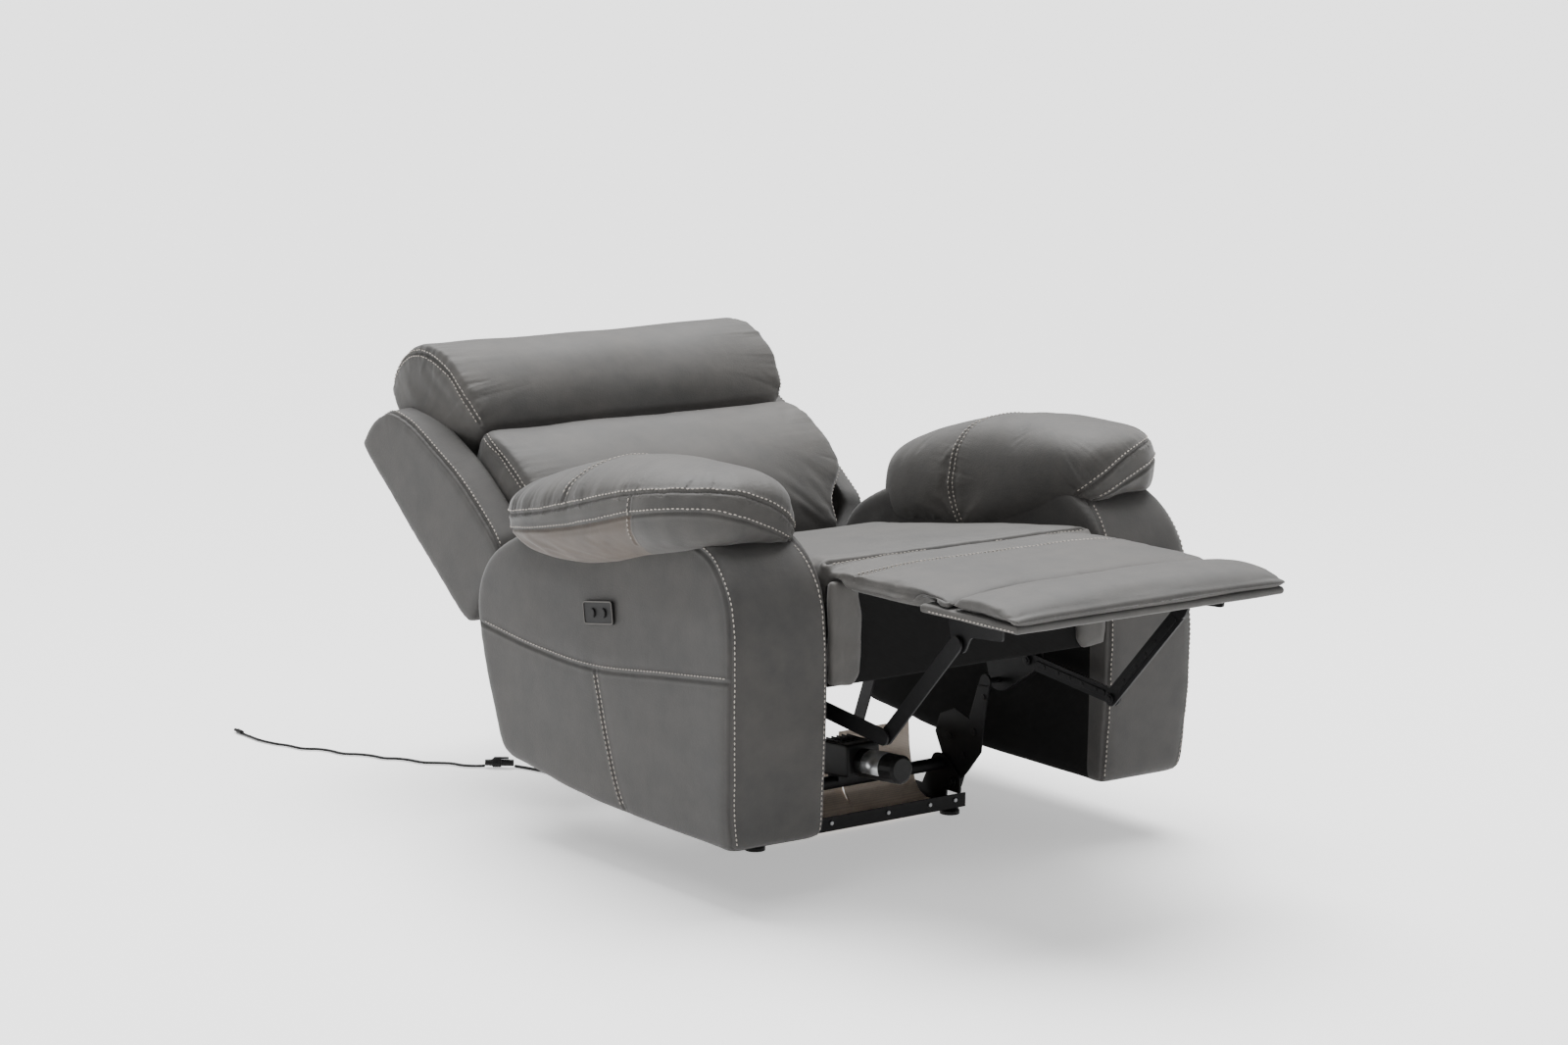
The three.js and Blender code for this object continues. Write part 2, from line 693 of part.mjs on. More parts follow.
function seat() {
  return group(
    seatCushion(),
    eachSide((name, side) => [seatRail(name, side)]),
    seatSprings(),
    seatFrontPanel(),
  );
}

// ---- Footrest ----
function chaisePad() {
  const top = CHAISE_BOTTOM + CHAISE_THICK;
  const corners = [
    [CHAISE_END, CHAISE_BOTTOM],
    [FOLD.y - 3, CHAISE_BOTTOM],
    [FOLD.y - 3, top],
    [CHAISE_END, top - 4],
  ];
  return piece("chaise_pad", span(outline(corners, 10), -FOOT_HALF, FOOT_HALF), grey);
}

function lipPad() {
  const top = CHAISE_BOTTOM + CHAISE_THICK + LIP_RISE;
  const corners = [
    [FOOT_END + 4, CHAISE_BOTTOM, 10],
    [CHAISE_END - 1, CHAISE_BOTTOM, 10],
    [CHAISE_END - 1, top - 10, 12],
    [CHAISE_END - 50, top, 24],
    [FOOT_END + 30, top - 4, 20],
    [FOOT_END, CHAISE_BOTTOM + 12, 9],
  ];
  return piece("footrest_lip_pad", span(outline(corners), -FOOT_HALF, FOOT_HALF), grey);
}

function footrestBoard() {
  const top = CHAISE_BOTTOM - 1;
  const corners = [
    [FOOT_END + 3, top - BOARD_THICK],
    [BOARD_START, top - BOARD_THICK],
    [BOARD_START, top],
    [FOOT_END + 3, top],
  ];
  return piece("footrest_board", span(outline(corners, 5), -FOOT_HALF, FOOT_HALF), grey);
}

function footBracket(name, side) {
  const top = CHAISE_BOTTOM - 1 - BOARD_THICK - GAP;
  const end = FOOT_PIN.y - 100;
  const shape = outline(
    [
      [BOARD_START - 4, top],
      [end, top],
      [end, top - 30, 6],
      [FOOT_PIN.y - 26, top - 36, 8],
      [FOOT_PIN.y - 12, FOOT_PIN.z - 14, 10],
      [FOOT_PIN.y + 14, FOOT_PIN.z - 12, 10],
      [BOARD_START - 4, top - 24, 6],
    ],
    0,
  );
  const pin = barX(PIN_RADIUS, side * FOOT_BRACKET_IN, side * (FRONT_LINK_IN - GAP), FOOT_PIN, 12);
  const plate = spanSide(shape, side, FOOT_BRACKET_IN, FOOT_BRACKET_IN + STRIP);
  const flange = box(
    side * (FOOT_BRACKET_IN - 22),
    side * FOOT_BRACKET_IN,
    end,
    BOARD_START - 4,
    top - 3,
    top,
  );
  return piece(`foot_bracket_${name}`, join(plate, pin, flange), blackSteel);
}

function frontLink(name, side) {
  const shape = linkOutline(KNEE, FOOT_PIN, LINK_WIDTH);
  const strip = spanSide(shape, side, FRONT_LINK_IN, FRONT_LINK_IN + STRIP, 0, 6);
  const stub = barX(PIN_RADIUS, side * FRONT_LINK_IN, side * (REAR_LINK_IN - 0.5), KNEE, 12);
  return piece(`front_link_${name}`, join(strip, stub), blackSteel);
}

function rearLink(name, side) {
  const hole = PIN_RADIUS + PIN_CLEARANCE;
  const shape = drill(linkOutline(LINK_ROOT, KNEE, LINK_WIDTH), LINK_ROOT, hole);
  const strip = spanSide(shape, side, REAR_LINK_IN, REAR_LINK_IN + STRIP, 0, 6);
  return piece(`rear_link_${name}`, strip, blackSteel);
}

function footrest() {
  return group(
    chaisePad(),
    lipPad(),
    footrestBoard(),
    eachSide((name, side) => [footBracket(name, side), frontLink(name, side), rearLink(name, side)]),
  );
}

// ---- Back ----
// Turns a point of the design frame into the back's own frame.
function inBack(at) {
  const turn = THREE.MathUtils.degToRad(RECLINE);
  const y = at.y - BACK_FOOT.y;
  const z = at.z - BACK_FOOT.z;
  return {
    y: y * Math.cos(turn) + z * Math.sin(turn),
    z: -y * Math.sin(turn) + z * Math.cos(turn),
  };
}

function wing(name, side) {
  const shape = outline(
    [
      [0, 0, 14],
      [WING_LENGTH, 0, 30],
      [WING_LENGTH - 4, WING_DEPTH - 88, 40],
      [WING_LENGTH - 60, WING_DEPTH - 44, 40],
      [WING_LENGTH - 130, WING_DEPTH - 24, 60],
      [WING_LENGTH - 260, WING_DEPTH, 60],
      [20, WING_DEPTH, 20],
    ],
    0,
  );
  const body = spanSide(shape, side, WING_OUT - WING_THICK, WING_OUT, 7, 4);
  return piece(`wing_${name}`, body, greySide);
}

// A cushion drawn from the front (x, up the back) and spanned forward from its rear face.
function frontSpan(corners, radius, from, to, bevel) {
  const depth = to - from - 2 * bevel;
  const options = { depth, steps: 1, curveSegments: 4, bevelEnabled: true, bevelSegments: 3 };
  Object.assign(options, { bevelThickness: bevel, bevelSize: bevel, bevelOffset: -bevel });
  return new THREE.ExtrudeGeometry(outline(corners, radius), options).translate(0, 0, from + bevel);
}

const cushionHalf = WING_OUT - WING_THICK - 4;

function lumbarCushion() {
  const { low, high, depth, waist, tongue } = LUMBAR;
  const corners = [
    [-tongue, low],
    [tongue, low],
    [tongue, waist],
    [cushionHalf, waist],
    [cushionHalf, high],
    [-cushionHalf, high],
    [-cushionHalf, waist],
    [-tongue, waist],
  ];
  return piece("lumbar_cushion", frontSpan(corners, 26, CUSHION_BACK, depth, 13), grey);
}

function headCushion() {
  const { low, high, depth } = HEAD;
  const corners = [
    [-cushionHalf, low],
    [cushionHalf, low],
    [cushionHalf, high],
    [-cushionHalf, high],
  ];
  return piece("head_cushion", frontSpan(corners, 40, CUSHION_BACK, depth, 20), grey);
}

function backPanel() {
  const half = WING_OUT - WING_THICK - 3;
  const panel = box(-half, half, -BACK_PANEL_TAIL, WING_LENGTH - 8, 0, BACK_PANEL_THICK);
  return piece("back_panel", panel, greySide);
}

function backPost(name, side) {
  const { inner, width, from, depth, low, high } = POST;
  const post = box(side * inner, side * (inner + width), low, high, from, from + depth);
  return piece(`back_post_${name}`, post, plywood);
}

function backTopRail() {
  const half = POST.inner - GAP;
  const { from, depth, high } = POST;
  const rail = box(-half, half, high - TOP_RAIL_HEIGHT, high, from, from + depth);
  return piece("back_top_rail", rail, plywood);
}

function backBracket(name, side) {
  const hinge = inBack(BACK_HINGE);
  const { from, depth } = POST;
  const shape = outline(
    [
      [hinge.y - 20, hinge.z - 10, 16],
      [POST.low + 20, from + 4, 8],
      [150, from + 4, 6],
      [150, from + depth - 4, 6],
      [20, from + depth - 2, 20],
      [hinge.y + 22, hinge.z + 8, 16],
      [hinge.y - 2, hinge.z + 22, 16],
    ],
    0,
  );
  drill(shape, hinge, PIN_RADIUS + 1 + PIN_CLEARANCE);
  const near = PLATE_IN + STRIP + 1;
  const plate = spanSide(shape, side, near, near + STRIP + 1, 0, 6);
  return piece(`back_bracket_${name}`, plate, blackSteel);
}

// Side pieces are drawn in (v, w) like the side plane; front pieces in (x, v), spanned along w.
function back() {
  const made = group(
    lumbarCushion(),
    headCushion(),
    backPanel(),
    backTopRail(),
    eachSide((name, side) => [wing(name, side), backPost(name, side), backBracket(name, side)]),
  );
  made.position.set(0, BACK_FOOT.y, BACK_FOOT.z);
  made.rotation.x = THREE.MathUtils.degToRad(RECLINE);
  return made;
}

// ---- Leads ----
const point = ([x, y, z]) => new THREE.Vector3(x, y, z ?? LEAD_LIE);

function lead(name, route, steps, radius) {
  const ring = new THREE.Shape().absarc(0, 0, radius, 0, 2 * Math.PI);
  const geometry = new THREE.ExtrudeGeometry(ring, {
    extrudePath: new THREE.CatmullRomCurve3(route.map(point), false, "centripetal"),
    steps,
    curveSegments: 4,
    bevelEnabled: false,
  });
  return piece(name, geometry, blackPlastic);
}

// From the gearbox down to the floor and back, out under the rear rail.
const MOTOR_LEAD = [
  [-22, 349, 114.5],
  [-23, 372, 112],
  [-26, 398, 104],
  [-31, 421, 88],
  [-37, 440, 65],
  [-44, 457, 40],
  [-52, 476, 18],
  [-62, 500, 6],
  [-76, 532],
  [-100, 590],
  [-128, 660],
  [-154, 735],
  [-178, 815],
  [-200, 890],
  [-217, 942],
  [-226, 964],
];

// On the floor behind the chair, in slack waves.
const SUPPLY_LEAD = [
  [-268.5, 996.5],
  [-281, 1003],
  [-298, 1019],
  [-308, 1043],
  [-325, 1060],
  [-345, 1078],
  [-356, 1108],
  [-368, 1128],
  [-385, 1144],
  [-394, 1172],
  [-408, 1194],
  [-428, 1214],
  [-436, 1246],
  [-447, 1268],
  [-468, 1288],
  [-478, 1322],
  [-490, 1348],
  [-499, 1384],
  [-500, 1420],
  [-500, 1448],
];

// A short round connector between two points of the floor, stepped down to its lead.
function connector(name, from, to, rings) {
  const start = new THREE.Vector3(...from);
  const end = new THREE.Vector3(...to);
  const length = start.distanceTo(end);
  const profile = rings.map(([share, radius]) => new THREE.Vector2(radius, share * length));
  const geometry = new THREE.LatheGeometry(
    [new THREE.Vector2(0, 0), ...profile, new THREE.Vector2(0, length)],
    12,
  );
  const made = piece(name, geometry, blackPlastic);
  made.position.copy(start);
  made.quaternion.setFromUnitVectors(
    new THREE.Vector3(0, 1, 0),
    end.clone().sub(start).normalize(),
  );
  return made;
}

function leads() {
  const big = CONNECTOR_RADIUS;
  const mid = CONNECTOR_RADIUS - 2;
  return group(
    lead("motor_lead", MOTOR_LEAD, 44, LEAD_RADIUS),
    connector("lead_socket", [-228, 965.6, 9], [-245, 978.8, 9], [[0, mid], [1, mid]]),
    connector("lead_plug", [-245.3, 979, 9], [-268.2, 996.2, 9], [[0, big], [0.5, big], [0.6, 6], [1, 5.5]]),
    lead("supply_lead", SUPPLY_LEAD, 60, LEAD_RADIUS - 0.25),
    connector("supply_plug", [-500, 1448.4, 4.6], [-499, 1476, 4.6], [[0, 4], [0.6, 4.4], [0.62, 3], [1, 3]]),
  );
}

// ---- Assembly ----
const chair = group(
  floorFrame(),
  actuator(),
  carriage(),
  arms(),
  seat(),
  footrest(),
  back(),
  leads(),
);
chair.position.y = -MID_Y;
const recliner = group(chair);

export default recliner;
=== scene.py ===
"""Dresses a reclined power recliner: upholstery, stitching, steelwork, leads, floor and lights."""

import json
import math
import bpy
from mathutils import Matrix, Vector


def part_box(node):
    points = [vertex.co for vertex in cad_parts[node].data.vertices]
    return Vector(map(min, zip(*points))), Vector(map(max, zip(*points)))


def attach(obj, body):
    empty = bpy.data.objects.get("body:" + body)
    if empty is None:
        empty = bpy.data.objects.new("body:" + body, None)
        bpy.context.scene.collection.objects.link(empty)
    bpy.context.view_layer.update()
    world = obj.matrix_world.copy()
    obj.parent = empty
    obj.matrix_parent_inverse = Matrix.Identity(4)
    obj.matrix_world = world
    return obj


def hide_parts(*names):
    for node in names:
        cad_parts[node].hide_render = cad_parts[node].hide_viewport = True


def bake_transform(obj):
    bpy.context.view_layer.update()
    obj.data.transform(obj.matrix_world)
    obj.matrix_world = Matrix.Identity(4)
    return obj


bl_info = {
    "name": "Power Recliner",
    "version": (1, 0, 0),
    "blender": (4, 5, 0),
    "location": "View3D > Sidebar > Recliner",
    "description": "Builds an upholstered power recliner piece by piece",
    "category": "Add Mesh",
}

import bmesh
import bpy
import numpy as np
from bpy.props import FloatProperty, FloatVectorProperty, PointerProperty
from mathutils import Matrix, Vector, noise
from mathutils.bvhtree import BVHTree

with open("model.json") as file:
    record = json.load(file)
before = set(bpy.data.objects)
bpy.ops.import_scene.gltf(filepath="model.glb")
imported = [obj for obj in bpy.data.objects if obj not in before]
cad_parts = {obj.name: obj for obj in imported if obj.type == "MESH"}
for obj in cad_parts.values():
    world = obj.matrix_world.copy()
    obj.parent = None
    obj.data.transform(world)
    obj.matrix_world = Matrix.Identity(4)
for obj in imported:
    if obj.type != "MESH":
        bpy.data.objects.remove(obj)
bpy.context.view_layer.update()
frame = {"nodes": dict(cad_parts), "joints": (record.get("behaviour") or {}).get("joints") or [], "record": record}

# ---- Places taken from the frame ----
SIDES = (("right", -1), ("left", 1))
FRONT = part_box("seat_front_panel")[0].y  # the arms' front line
JOINTS = {joint["name"]: joint for joint in frame["joints"]}
RECLINE = math.radians(37.2)  # the back above level
HINGE = Vector(JOINTS["recline"]["pos_m"])
BACK_FOOT_Y = (HINGE.y - FRONT) * 1000 + 184  # rear lower corner of the wings
BACK_FOOT_Z = HINGE.z * 1000 - 57


def mm(x, y, z):
    """A point of the frame, in mm from the chair's middle, the arm fronts and the floor."""
    return Vector((x / 1000, FRONT + y / 1000, z / 1000))


def on_back(x, v, w):
    """Millimetres across the back, up the recline and forward of its rear face."""
    c, s = math.cos(RECLINE), math.sin(RECLINE)
    return mm(x, BACK_FOOT_Y + v * c - w * s, BACK_FOOT_Z + v * s + w * c)


BACK_UP = (on_back(0, 1, 0) - on_back(0, 0, 0)).normalized()
BACK_OUT = (on_back(0, 0, 1) - on_back(0, 0, 0)).normalized()


# ---- Shader nodes as Python expressions ----
class Wire:
    """A node's output socket, with arithmetic."""

    def __init__(self, tree, socket):
        self.tree = tree
        self.socket = socket

    def _math(self, operation, a, b):
        node = self.tree.nodes.new("ShaderNodeMath")
        node.operation = operation
        for place, value in enumerate((a, b)):
            if isinstance(value, Wire):
                self.tree.links.new(value.socket, node.inputs[place])
            elif value is not None:
                node.inputs[place].default_value = value
        return Wire(self.tree, node.outputs[0])

    def __add__(self, other):
        return self._math("ADD", self, other)

    def __radd__(self, other):
        return self._math("ADD", other, self)

    def __sub__(self, other):
        return self._math("SUBTRACT", self, other)

    def __rsub__(self, other):
        return self._math("SUBTRACT", other, self)

    def __mul__(self, other):
        return self._math("MULTIPLY", self, other)

    def __rmul__(self, other):
        return self._math("MULTIPLY", other, self)

    def clamp(self, low, high):
        return self._math("MINIMUM", self._math("MAXIMUM", self, low), high)


class Finish:
    """A material with its principled shader, and one way to add any node."""

    def __init__(self, name, roughness=0.5, metallic=0.0):
        self.material = bpy.data.materials.new(name)
        self.material.use_nodes = True
        self.tree = self.material.node_tree
        self.shader = self.tree.nodes["Principled BSDF"]
        self.shader.inputs["Roughness"].default_value = roughness
        self.shader.inputs["Metallic"].default_value = metallic
        self.place = self.node("ShaderNodeTexCoord", {}, {}, "Object")

    def node(self, kind, settings, inputs, output=0):
        node = self.tree.nodes.new(kind)
        for key, value in settings.items():
            setattr(node, key, value)
        for key, value in inputs.items():
            if isinstance(value, Wire):
                self.tree.links.new(value.socket, node.inputs[key])
            else:
                node.inputs[key].default_value = value
        return Wire(self.tree, node.outputs[output])

    def noise(self, scale, detail=2.0, rough=0.5, where=None):
        settings = {"Scale": scale, "Detail": detail, "Roughness": rough}
        return self.node("ShaderNodeTexNoise", {}, {"Vector": where or self.place, **settings})

    def stretched(self, x, y, z):
        return self.node("ShaderNodeMapping", {}, {"Vector": self.place, "Scale": (x, y, z)})

    def mix(self, factor, first, second):
        inputs = {"Factor": factor, "A": first, "B": second}
        node = self.tree.nodes.new("ShaderNodeMix")
        node.data_type = "RGBA"
        for index, key in ((0, "Factor"), (6, "A"), (7, "B")):
            value = inputs[key]
            if isinstance(value, Wire):
                self.tree.links.new(value.socket, node.inputs[index])
            else:
                node.inputs[index].default_value = value
        return Wire(self.tree, node.outputs[2])

    def bump(self, height, strength, distance):
        return self.node(
            "ShaderNodeBump", {}, {"Height": height, "Strength": strength, "Distance": distance}
        )

    def drive(self, socket, wire):
        self.tree.links.new(wire.socket, self.shader.inputs[socket])


def shade(colour, factor):
    return (*(c * factor for c in colour), 1.0)


def microfibre(name, colour):
    """Leather-look microfibre: soft clouding, a fine suede nap and a faint grain."""
    f = Finish(name, 0.62)
    cloud = f.noise(5.0, 3.0, 0.55)
    blotch = f.noise(26.0, 3.0, 0.6)
    nap = f.noise(620.0, 2.0, 0.6)
    streak = f.noise(240.0, 2.0, 0.5, f.stretched(1.0, 0.35, 1.0))
    tone = (cloud * 1.3 + blotch * 0.9 - 0.8).clamp(0.0, 1.0)
    warm = tuple(c * k for c, k in zip(colour, (1.06, 1.0, 0.95)))
    base = f.mix(tone, shade(colour, 0.70), shade(warm, 1.34))
    base = f.mix(nap * 0.18, base, shade(warm, 1.6))
    f.drive("Base Color", base)
    f.drive("Roughness", (0.52 + 0.18 * cloud + 0.10 * nap).clamp(0.3, 0.95))
    grain = f.node(
        "ShaderNodeTexVoronoi", {"feature": "F1"}, {"Vector": f.place, "Scale": 330.0}, "Distance"
    )
    height = nap * 0.55 + streak * 0.25 + grain * 0.35 + blotch * 0.8
    f.drive("Normal", f.bump(height, 0.22, 0.0016))
    f.shader.inputs["Sheen Weight"].default_value = 0.16
    f.shader.inputs["Sheen Roughness"].default_value = 0.45
    f.shader.inputs["Specular IOR Level"].default_value = 0.36
    return f.material


def thread(name, colour):
    f = Finish(name, 0.7)
    twist = f.node(
        "ShaderNodeTexWave",
        {"wave_type": "BANDS", "bands_direction": "DIAGONAL"},
        {"Vector": f.place, "Scale": 500.0, "Distortion": 1.0},
        1,
    )
    f.drive("Base Color", f.mix(twist, shade(colour, 0.75), shade(colour, 1.15)))
    f.drive("Normal", f.bump(twist, 0.4, 0.0003))
    return f.material


def black_steel(name, colour):
    """Powder coat: a fine orange peel, rubbed a little brighter in patches."""
    f = Finish(name, 0.42, 0.2)
    f.shader.inputs["Specular IOR Level"].default_value = 0.3
    peel = f.noise(900.0, 2.0, 0.5)
    rub = f.noise(34.0, 4.0, 0.65)
    worn = ((rub - 0.58) * 5.0).clamp(0.0, 1.0)
    f.drive("Base Color", f.mix(worn * 0.5, shade(colour, 1.0), shade(colour, 3.2)))
    f.drive("Roughness", (0.36 + 0.2 * peel + 0.12 * rub).clamp(0.2, 0.8))
    f.drive("Normal", f.bump(peel, 0.15, 0.0004))
    return f.material


def bare_steel(name, colour, roughness):
    f = Finish(name, roughness, 0.9)
    brushed = f.noise(160.0, 3.0, 0.6, f.stretched(0.2, 3.0, 3.0))
    spangle = f.noise(60.0, 3.0, 0.5)
    f.drive("Base Color", f.mix(spangle, shade(colour, 0.78), shade(colour, 1.2)))
    f.drive("Roughness", (roughness - 0.08 + 0.22 * brushed).clamp(0.15, 0.9))
    f.drive("Normal", f.bump(brushed, 0.12, 0.0003))
    return f.material


def moulded(name, colour, roughness=0.42):
    """Spark-eroded moulded plastic."""
    f = Finish(name, roughness)
    texture = f.noise(1100.0, 2.0, 0.5)
    film = f.noise(22.0, 3.0, 0.5)
    f.shader.inputs["Specular IOR Level"].default_value = 0.25
    f.drive("Base Color", f.mix(film, shade(colour, 0.85), shade(colour, 1.35)))
    f.drive("Roughness", (roughness - 0.05 + 0.18 * texture).clamp(0.2, 0.9))
    f.drive("Normal", f.bump(texture, 0.2, 0.0003))
    return f.material


def woven(name, colour, scale=900.0, sheen=0.15):
    """Plain woven cloth, threads both ways."""
    f = Finish(name, 0.9)
    bands = {"wave_type": "BANDS"}
    warp = f.node(
        "ShaderNodeTexWave",
        {**bands, "bands_direction": "X"},
        {"Vector": f.place, "Scale": scale / 6, "Distortion": 0.6, "Detail Scale": 3.0},
        1,
    )
    weft = f.node(
        "ShaderNodeTexWave",
        {**bands, "bands_direction": "Z"},
        {"Vector": f.place, "Scale": scale / 6, "Distortion": 0.6, "Detail Scale": 3.0},
        1,
    )
    fold = f.noise(12.0, 3.0, 0.5)
    weave = warp * 0.5 + weft * 0.5
    tone = (weave * 0.5 + fold * 0.6).clamp(0.0, 1.0)
    f.drive("Base Color", f.mix(tone, shade(colour, 0.7), shade(colour, 1.3)))
    f.drive("Normal", f.bump(weave + fold * 2.0, 0.4, 0.0008))
    f.shader.inputs["Sheen Weight"].default_value = sheen
    f.shader.inputs["Specular IOR Level"].default_value = 0.2
    return f.material


def plywood(name, colour):
    """Rotary-cut veneer: long figure with fine pores."""
    f = Finish(name, 0.72)
    along = f.stretched(14.0, 1.6, 14.0)
    figure = f.noise(3.0, 5.0, 0.6, along)
    pores = f.noise(30.0, 2.0, 0.5, along)
    tone = (figure * 0.7 + pores * 0.3).clamp(0.0, 1.0)
    f.drive("Base Color", f.mix(tone, shade(colour, 0.62), shade(colour, 1.3)))
    f.drive("Roughness", (0.62 + 0.2 * pores).clamp(0.4, 0.95))
    f.drive("Normal", f.bump(pores, 0.2, 0.0005))
    return f.material


def studio_floor(name, colour):
    f = Finish(name, 0.75)
    speck = f.noise(9.0, 4.0, 0.6)
    f.drive("Base Color", f.mix(speck, shade(colour, 0.985), shade(colour, 1.0)))
    f.shader.inputs["Emission Color"].default_value = (1.0, 1.0, 1.0, 1.0)
    f.shader.inputs["Emission Strength"].default_value = 0.55
    return f.material


# ---- Mesh tools ----
def flowing(points, steps=6, closed=False):
    """Points on a smooth curve through the given ones."""
    count = len(points)
    at = (lambda i: points[i % count]) if closed else (lambda i: points[min(max(i, 0), count - 1)])
    made = []
    for i in range(count if closed else count - 1):
        a, b, c, d = (at(i + k) for k in (-1, 0, 1, 2))
        for step in range(steps):
            t = step / steps
            curve = 2 * b + (c - a) * t + (2 * a - 5 * b + 4 * c - d) * t * t
            made.append((curve + (3 * b - a - 3 * c + d) * t**3) / 2)
    return made if closed else made + [points[-1]]


def evenly(points, pitch):
    """The same run, with points a fixed distance apart."""
    made = [points[0].copy()]
    left = pitch
    for a, b in zip(points, points[1:]):
        length = (b - a).length
        done = 0.0
        while length - done >= left:
            done += left
            made.append(a.lerp(b, done / length))
            left = pitch
        left -= length - done
    return made


def run_through(places, pitch=0.004, steps=8):
    return evenly(flowing([mm(*p) for p in places], steps), pitch)


def keep(name, bm, material=None, smooth=True):
    """Turns a bmesh into an object at the origin."""
    bmesh.ops.remove_doubles(bm, verts=bm.verts, dist=1e-6)
    bmesh.ops.recalc_face_normals(bm, faces=bm.faces)
    mesh = bpy.data.meshes.new(name)
    bm.to_mesh(mesh)
    bm.free()
    piece = bpy.data.objects.new(name, mesh)
    bpy.context.scene.collection.objects.link(piece)
    if material:
        mesh.materials.append(material)
    for polygon in mesh.polygons:
        polygon.use_smooth = smooth
    return piece


def slab_mesh(ring, across, bevel=0.0, segments=3):
    """A flat ring of points extruded across, its two rims rounded."""
    bm = bmesh.new()
    face = bm.faces.new([bm.verts.new(p) for p in ring])
    made = bmesh.ops.extrude_face_region(bm, geom=[face])["geom"]
    moved = [g for g in made if isinstance(g, bmesh.types.BMVert)]
    bmesh.ops.translate(bm, verts=moved, vec=across)
    open_edges = [e for e in bm.edges if e.is_boundary]
    if open_edges:
        bmesh.ops.holes_fill(bm, edges=open_edges, sides=0)
    if bevel:
        way = across.normalized()
        rims = [e for e in bm.edges if abs((e.verts[0].co - e.verts[1].co).dot(way)) < 1e-6]
        bmesh.ops.bevel(
            bm,
            geom=rims,
            offset=bevel,
            segments=segments,
            affect="EDGES",
            profile=0.5,
            material=-1,
            clamp_overlap=True,
        )
    return bm


def gather_in(bm, other):
    """Adds another bmesh to this one and frees it."""
    mesh = bpy.data.meshes.new("part")
    other.to_mesh(mesh)
    other.free()
    bm.from_mesh(mesh)
    bpy.data.meshes.remove(mesh)


def loft_mesh(rings):
    """A closed skin over rings of equal count."""
    bm = bmesh.new()
    loops = []
    for ring in rings:
        verts = [bm.verts.new(p) for p in ring]
        loops.append([bm.edges.new(pair) for pair in zip(verts, verts[1:] + verts[:1])])
    for near, far in zip(loops, loops[1:]):
        bmesh.ops.bridge_loops(bm, edges=near + far)
    for end in (loops[0], loops[-1]):
        bmesh.ops.contextual_create(bm, geom=end)
    return bm


def paint(piece, material):
    """Gives a piece one material in place of its own."""
    piece.data.materials.clear()
    piece.data.materials.append(material)


def settle(piece):
    """Applies the piece's modifiers."""
    ready = piece.evaluated_get(bpy.context.evaluated_depsgraph_get())
    mesh = bpy.data.meshes.new_from_object(ready)
    old = piece.data
    materials = list(old.materials)
    piece.modifiers.clear()
    piece.data = mesh
    bpy.data.meshes.remove(old)
    if not mesh.materials:
        for material in materials:
            mesh.materials.append(material)
    for polygon in mesh.polygons:
        polygon.use_smooth = True
    return piece


def add(piece, kind, **settings):
    modifier = piece.modifiers.new(kind.title(), kind)
    for key, value in settings.items():
        setattr(modifier, key, value)
    return modifier


def remesh(piece, voxel, smooth=6):
    add(piece, "REMESH", mode="VOXEL", voxel_size=voxel)
    add(piece, "SMOOTH", iterations=smooth, factor=0.5)
    return settle(piece)


def refine(piece):
    add(piece, "SUBSURF", levels=1, render_levels=1)
    return settle(piece)


def points_of(piece):
    flat = np.empty(len(piece.data.vertices) * 3, np.float32)
    piece.data.vertices.foreach_get("co", flat)
    return flat.reshape(-1, 3).astype(float)


def normals_of(piece):
    flat = np.empty(len(piece.data.vertices) * 3, np.float32)
    piece.data.vertex_normals.foreach_get("vector", flat)
    return flat.reshape(-1, 3).astype(float)


def put_points(piece, places):
    piece.data.vertices.foreach_set("co", places.astype(np.float32).ravel())
    piece.data.update()


def reach(places, run):
    """For each point, its distance to a run and the nearest run point's number."""
    line = np.array([tuple(p) for p in run])
    far = np.full(len(places), 9.0)
    number = np.zeros(len(places), int)
    low, high = line.min(0) - 0.12, line.max(0) + 0.12
    near = np.where(np.all((places > low) & (places < high), axis=1))[0]
    for start in range(0, len(near), 4000):
        part = near[start : start + 4000]
        gap = np.linalg.norm(places[part][:, None] - line[None], axis=2)
        far[part] = gap.min(1)
        number[part] = gap.argmin(1)
    return far, number


def snapped(piece, run):
    """The run laid on the piece's surface, with the surface's normals."""
    tree = BVHTree.FromObject(piece, bpy.context.evaluated_depsgraph_get())
    made = [tree.find_nearest(p)[:2] for p in run]
    return [place for place, _ in made], [normal for _, normal in made]


def lay(piece, *runs):
    """The runs laid smoothly on the cover."""
    made = []
    for run in runs:
        line, _ = snapped(piece, run)
        for _ in range(4):
            inner = [(a + 2 * b + c) / 4 for a, b, c in zip(line, line[1:], line[2:])]
            line = [line[0], *inner, line[-1]]
        made.append(evenly(line, 0.004))
    return made


def finer(piece, runs, width=0.013):
    """Splits the cover's mesh along seams, so that they draw crisply."""
    near = set(near_runs(piece, runs, width).tolist())
    bm = bmesh.new()
    bm.from_mesh(piece.data)
    edges = [e for e in bm.edges if e.verts[0].index in near and e.verts[1].index in near]
    bmesh.ops.subdivide_edges(bm, edges=edges, cuts=1, use_grid_fill=True)
    bmesh.ops.triangulate(bm, faces=[f for f in bm.faces if len(f.verts) > 4])
    for face in bm.faces:
        face.smooth = True
    bm.to_mesh(piece.data)
    bm.free()


